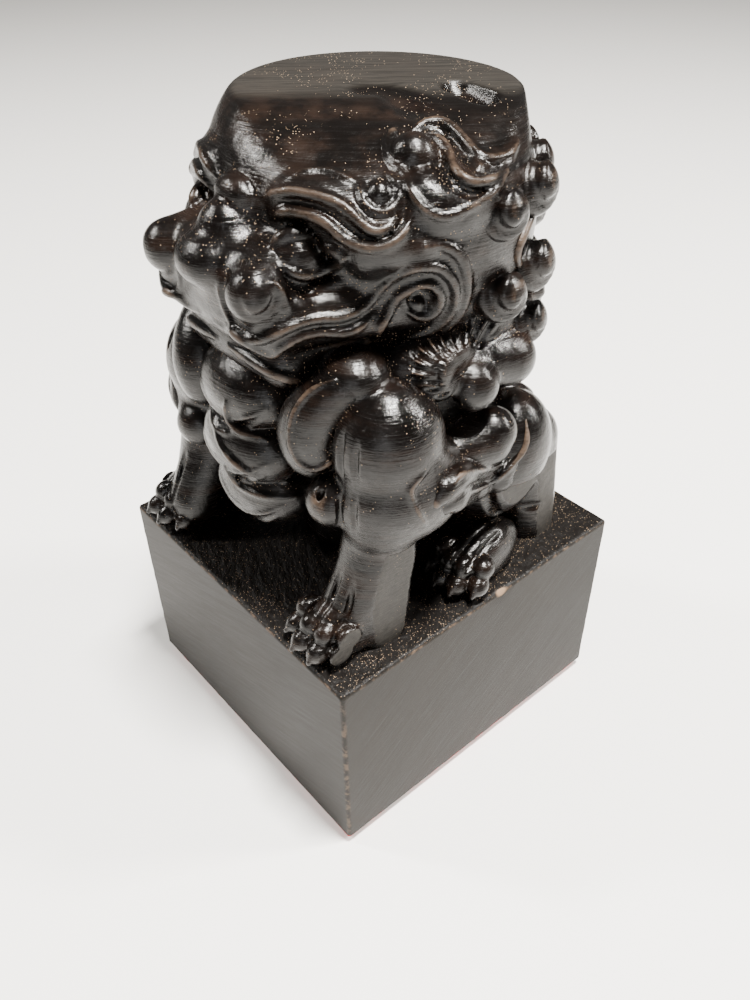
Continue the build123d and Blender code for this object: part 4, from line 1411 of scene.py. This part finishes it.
def makeBlockWood():
    material, tree, shader = newMaterial("sandedWood")
    normal = facing(tree)
    facesUp = remap(tree, normal[2], 0.55, 0.8)
    onFlank = remap(tree, maths(tree, "ABSOLUTE", normal[0]), 0.55, 0.8)
    # slanting scratches on the flanks, finer rubbing on the other sides
    scratches = patches(tree, 1.5, 6.0, 0.75, (1.0, 0.10, 2.6), (-block["scratchRise"], 0, 0))
    rubbing = patches(tree, 1.2, 6.0, 0.7, (0.12, 1.0, 2.0), (0, 0.35, 0))
    pattern = mixed(tree, onFlank, plus(tree, times(tree, rubbing, 0.45), 0.26), scratches)
    cloud = patches(tree, 0.07, 3.0, 0.55)
    tone = plus(tree, remap(tree, pattern, 0.36, 0.64, 0.0, 0.8), remap(tree, cloud, 0.3, 0.7, 0.0, 0.25))
    color = blend(tree, tone, block["deep"], block["wood"])
    # worn edges, a dark carved top, the nick's bare wood and dust
    chipped = remap(tree, patches(tree, 0.9, 4.0, 0.6), 0.45, 0.65)
    color = blend(tree, times(tree, remap(tree, mark(tree, "edge"), 0.2, 0.75), chipped), color, block["edge"])
    carved = blend(tree, patches(tree, 0.8, 4.0, 0.6), block["top"], block["deep"])
    color = blend(tree, facesUp, color, carved)
    color = blend(tree, remap(tree, mark(tree, "nick"), 0.05, 0.3), color, block["nickWood"])
    specks = placeGroup(tree, dustEffect, Amount=times(tree, facesUp, 1.7), Crease=0.2)["Mask"]
    color = blend(tree, specks, color, dust["color"])
    # red paste along the lower edges
    stain = patches(tree, 0.35, 4.0, 0.6)
    limit = remap(tree, stain, 0.35, 0.62, block["pasteFoot"], block["pasteRise"])
    red = remap(tree, heightUp(tree), limit, times(tree, limit, 0.8))
    color = blend(tree, times(tree, red, 0.85), color, block["paste"])
    rough = mixed(tree, facesUp, remap(tree, pattern, 0.2, 0.8, 0.42, 0.62), 0.45)
    rough = maths(tree, "MAXIMUM", rough, times(tree, specks, wood["dustDull"]))
    chisel = patches(tree, 0.8, 4.0, 0.6, (0.5, 1.0, 1.0), (0, 0, 0.6))
    height = mixed(tree, facesUp, times(tree, pattern, 0.00004), times(tree, chisel, 0.0005))
    dress(tree, shader, color, rough, plus(tree, height, times(tree, specks, 0.0001)), block["sheen"])
    return material


def makePaste():
    material, tree, shader = newMaterial("sealPaste")
    clumps = patches(tree, 1.8, 5.0, 0.6)
    color = blend(tree, remap(tree, clumps, 0.35, 0.65), shade(block["paste"], 0.55), block["paste"])
    dress(tree, shader, color, remap(tree, clumps, 0.3, 0.7, 0.3, 0.6), times(tree, clumps, 0.00008))
    return material


def makeReliefWood():
    material, tree, shader = newMaterial("engravedWood")
    stain = patches(tree, 0.5, 4.0, 0.6)
    streak = placeGroup(tree, grainEffect, Streak_Length=0.2, Fineness=2.0)
    dark = blend(tree, streak["Tone"], block["deep"], block["wood"])
    reach = remap(tree, heightUp(tree), block["pasteFoot"], 0.0002)
    color = blend(tree, times(tree, reach, remap(tree, stain, 0.35, 0.6)), dark, block["paste"])
    dress(tree, shader, color, remap(tree, stain, 0.3, 0.7, 0.4, 0.65))
    return material


print("block")
makeBlock()
for name, material in (("printing_relief", makeReliefWood()), ("seal_paste_film", makePaste())):
    for thing in bpy.context.scene.objects:
        if thing.type == "MESH" and thing.name.split(".")[0] == name:
            thing.data.materials.clear()
            thing.data.materials.append(material)


# Stage: camera, floor and lights, in metres and watts

warmWhite = (1.0, 0.97, 0.92)
# place, point aimed at, size, power and color
lights = {
    "windowLight": ((0.10, 0.02, 0.50), (0, 0, 0.06), (0.08, 0.06), 11.0, warmWhite),
    "backLight": ((0.26, 0.34, 0.36), (0, 0, 0.05), (0.08, 0.05), 4.6, warmWhite),
    "fillLight": ((-0.34, -0.26, 0.45), (0, 0, 0.05), (0.07, 0.07), 3.6, warmWhite),
    "roomLight": ((0.36, -0.36, 0.17), (0, 0, 0.06), (0.12, 0.05), 0.5, (1, 1, 1)),
}
stage = {
    "floorHalf": 3,
    "floor": (0.86, 0.85, 0.83, 1),
    "floorRough": 0.6,
    "air": (0.92, 0.88, 0.83, 1),
    "airStrength": 0.20,
}


def makeCamera():
    data = bpy.data.cameras.new("photoCamera")
    data.sensor_width = photoCamera["sensor"]
    data.lens = photoCamera["focalPixels"] / photoCamera["tall"] * photoCamera["sensor"]
    data.clip_start = 0.005
    camera = linked("photoCamera", data)
    turn = Matrix([cameraRight, cameraUp, cameraBack]).transposed()
    camera.matrix_world = Matrix.Translation(Vector(cameraPlace * mm)) @ turn.to_4x4()
    bpy.context.scene.camera = camera


def makeLight(name, place, aimAt, size, power, color):
    data = bpy.data.lights.new(name, "AREA")
    data.shape = "RECTANGLE"
    data.size, data.size_y = size
    data.energy = power
    data.color = color
    light = linked(name, data)
    light.location = place
    light.rotation_euler = (Vector(aimAt) - Vector(place)).to_track_quat("-Z", "Y").to_euler()


def makeFloor():
    mesh = bpy.data.meshes.new("floor")
    half = stage["floorHalf"]
    corners = [(-half, -half, 0), (half, -half, 0), (half, half, 0), (-half, half, 0)]
    mesh.from_pydata(corners, [], [(0, 1, 2, 3)])
    floor = linked("floor", mesh)
    material, _, shader = newMaterial("paleFloor")
    shader.inputs["Base Color"].default_value = stage["floor"]
    shader.inputs["Roughness"].default_value = stage["floorRough"]
    mesh.materials.append(material)


def makeAir():
    world = bpy.data.worlds.new("studio")
    bpy.context.scene.world = world
    world.use_nodes = True
    inputs = world.node_tree.nodes["Background"].inputs
    inputs["Color"].default_value = stage["air"]
    inputs["Strength"].default_value = stage["airStrength"]


print("stage")
makeCamera()
makeFloor()
for name, light in lights.items():
    makeLight(name, *light)
makeAir()
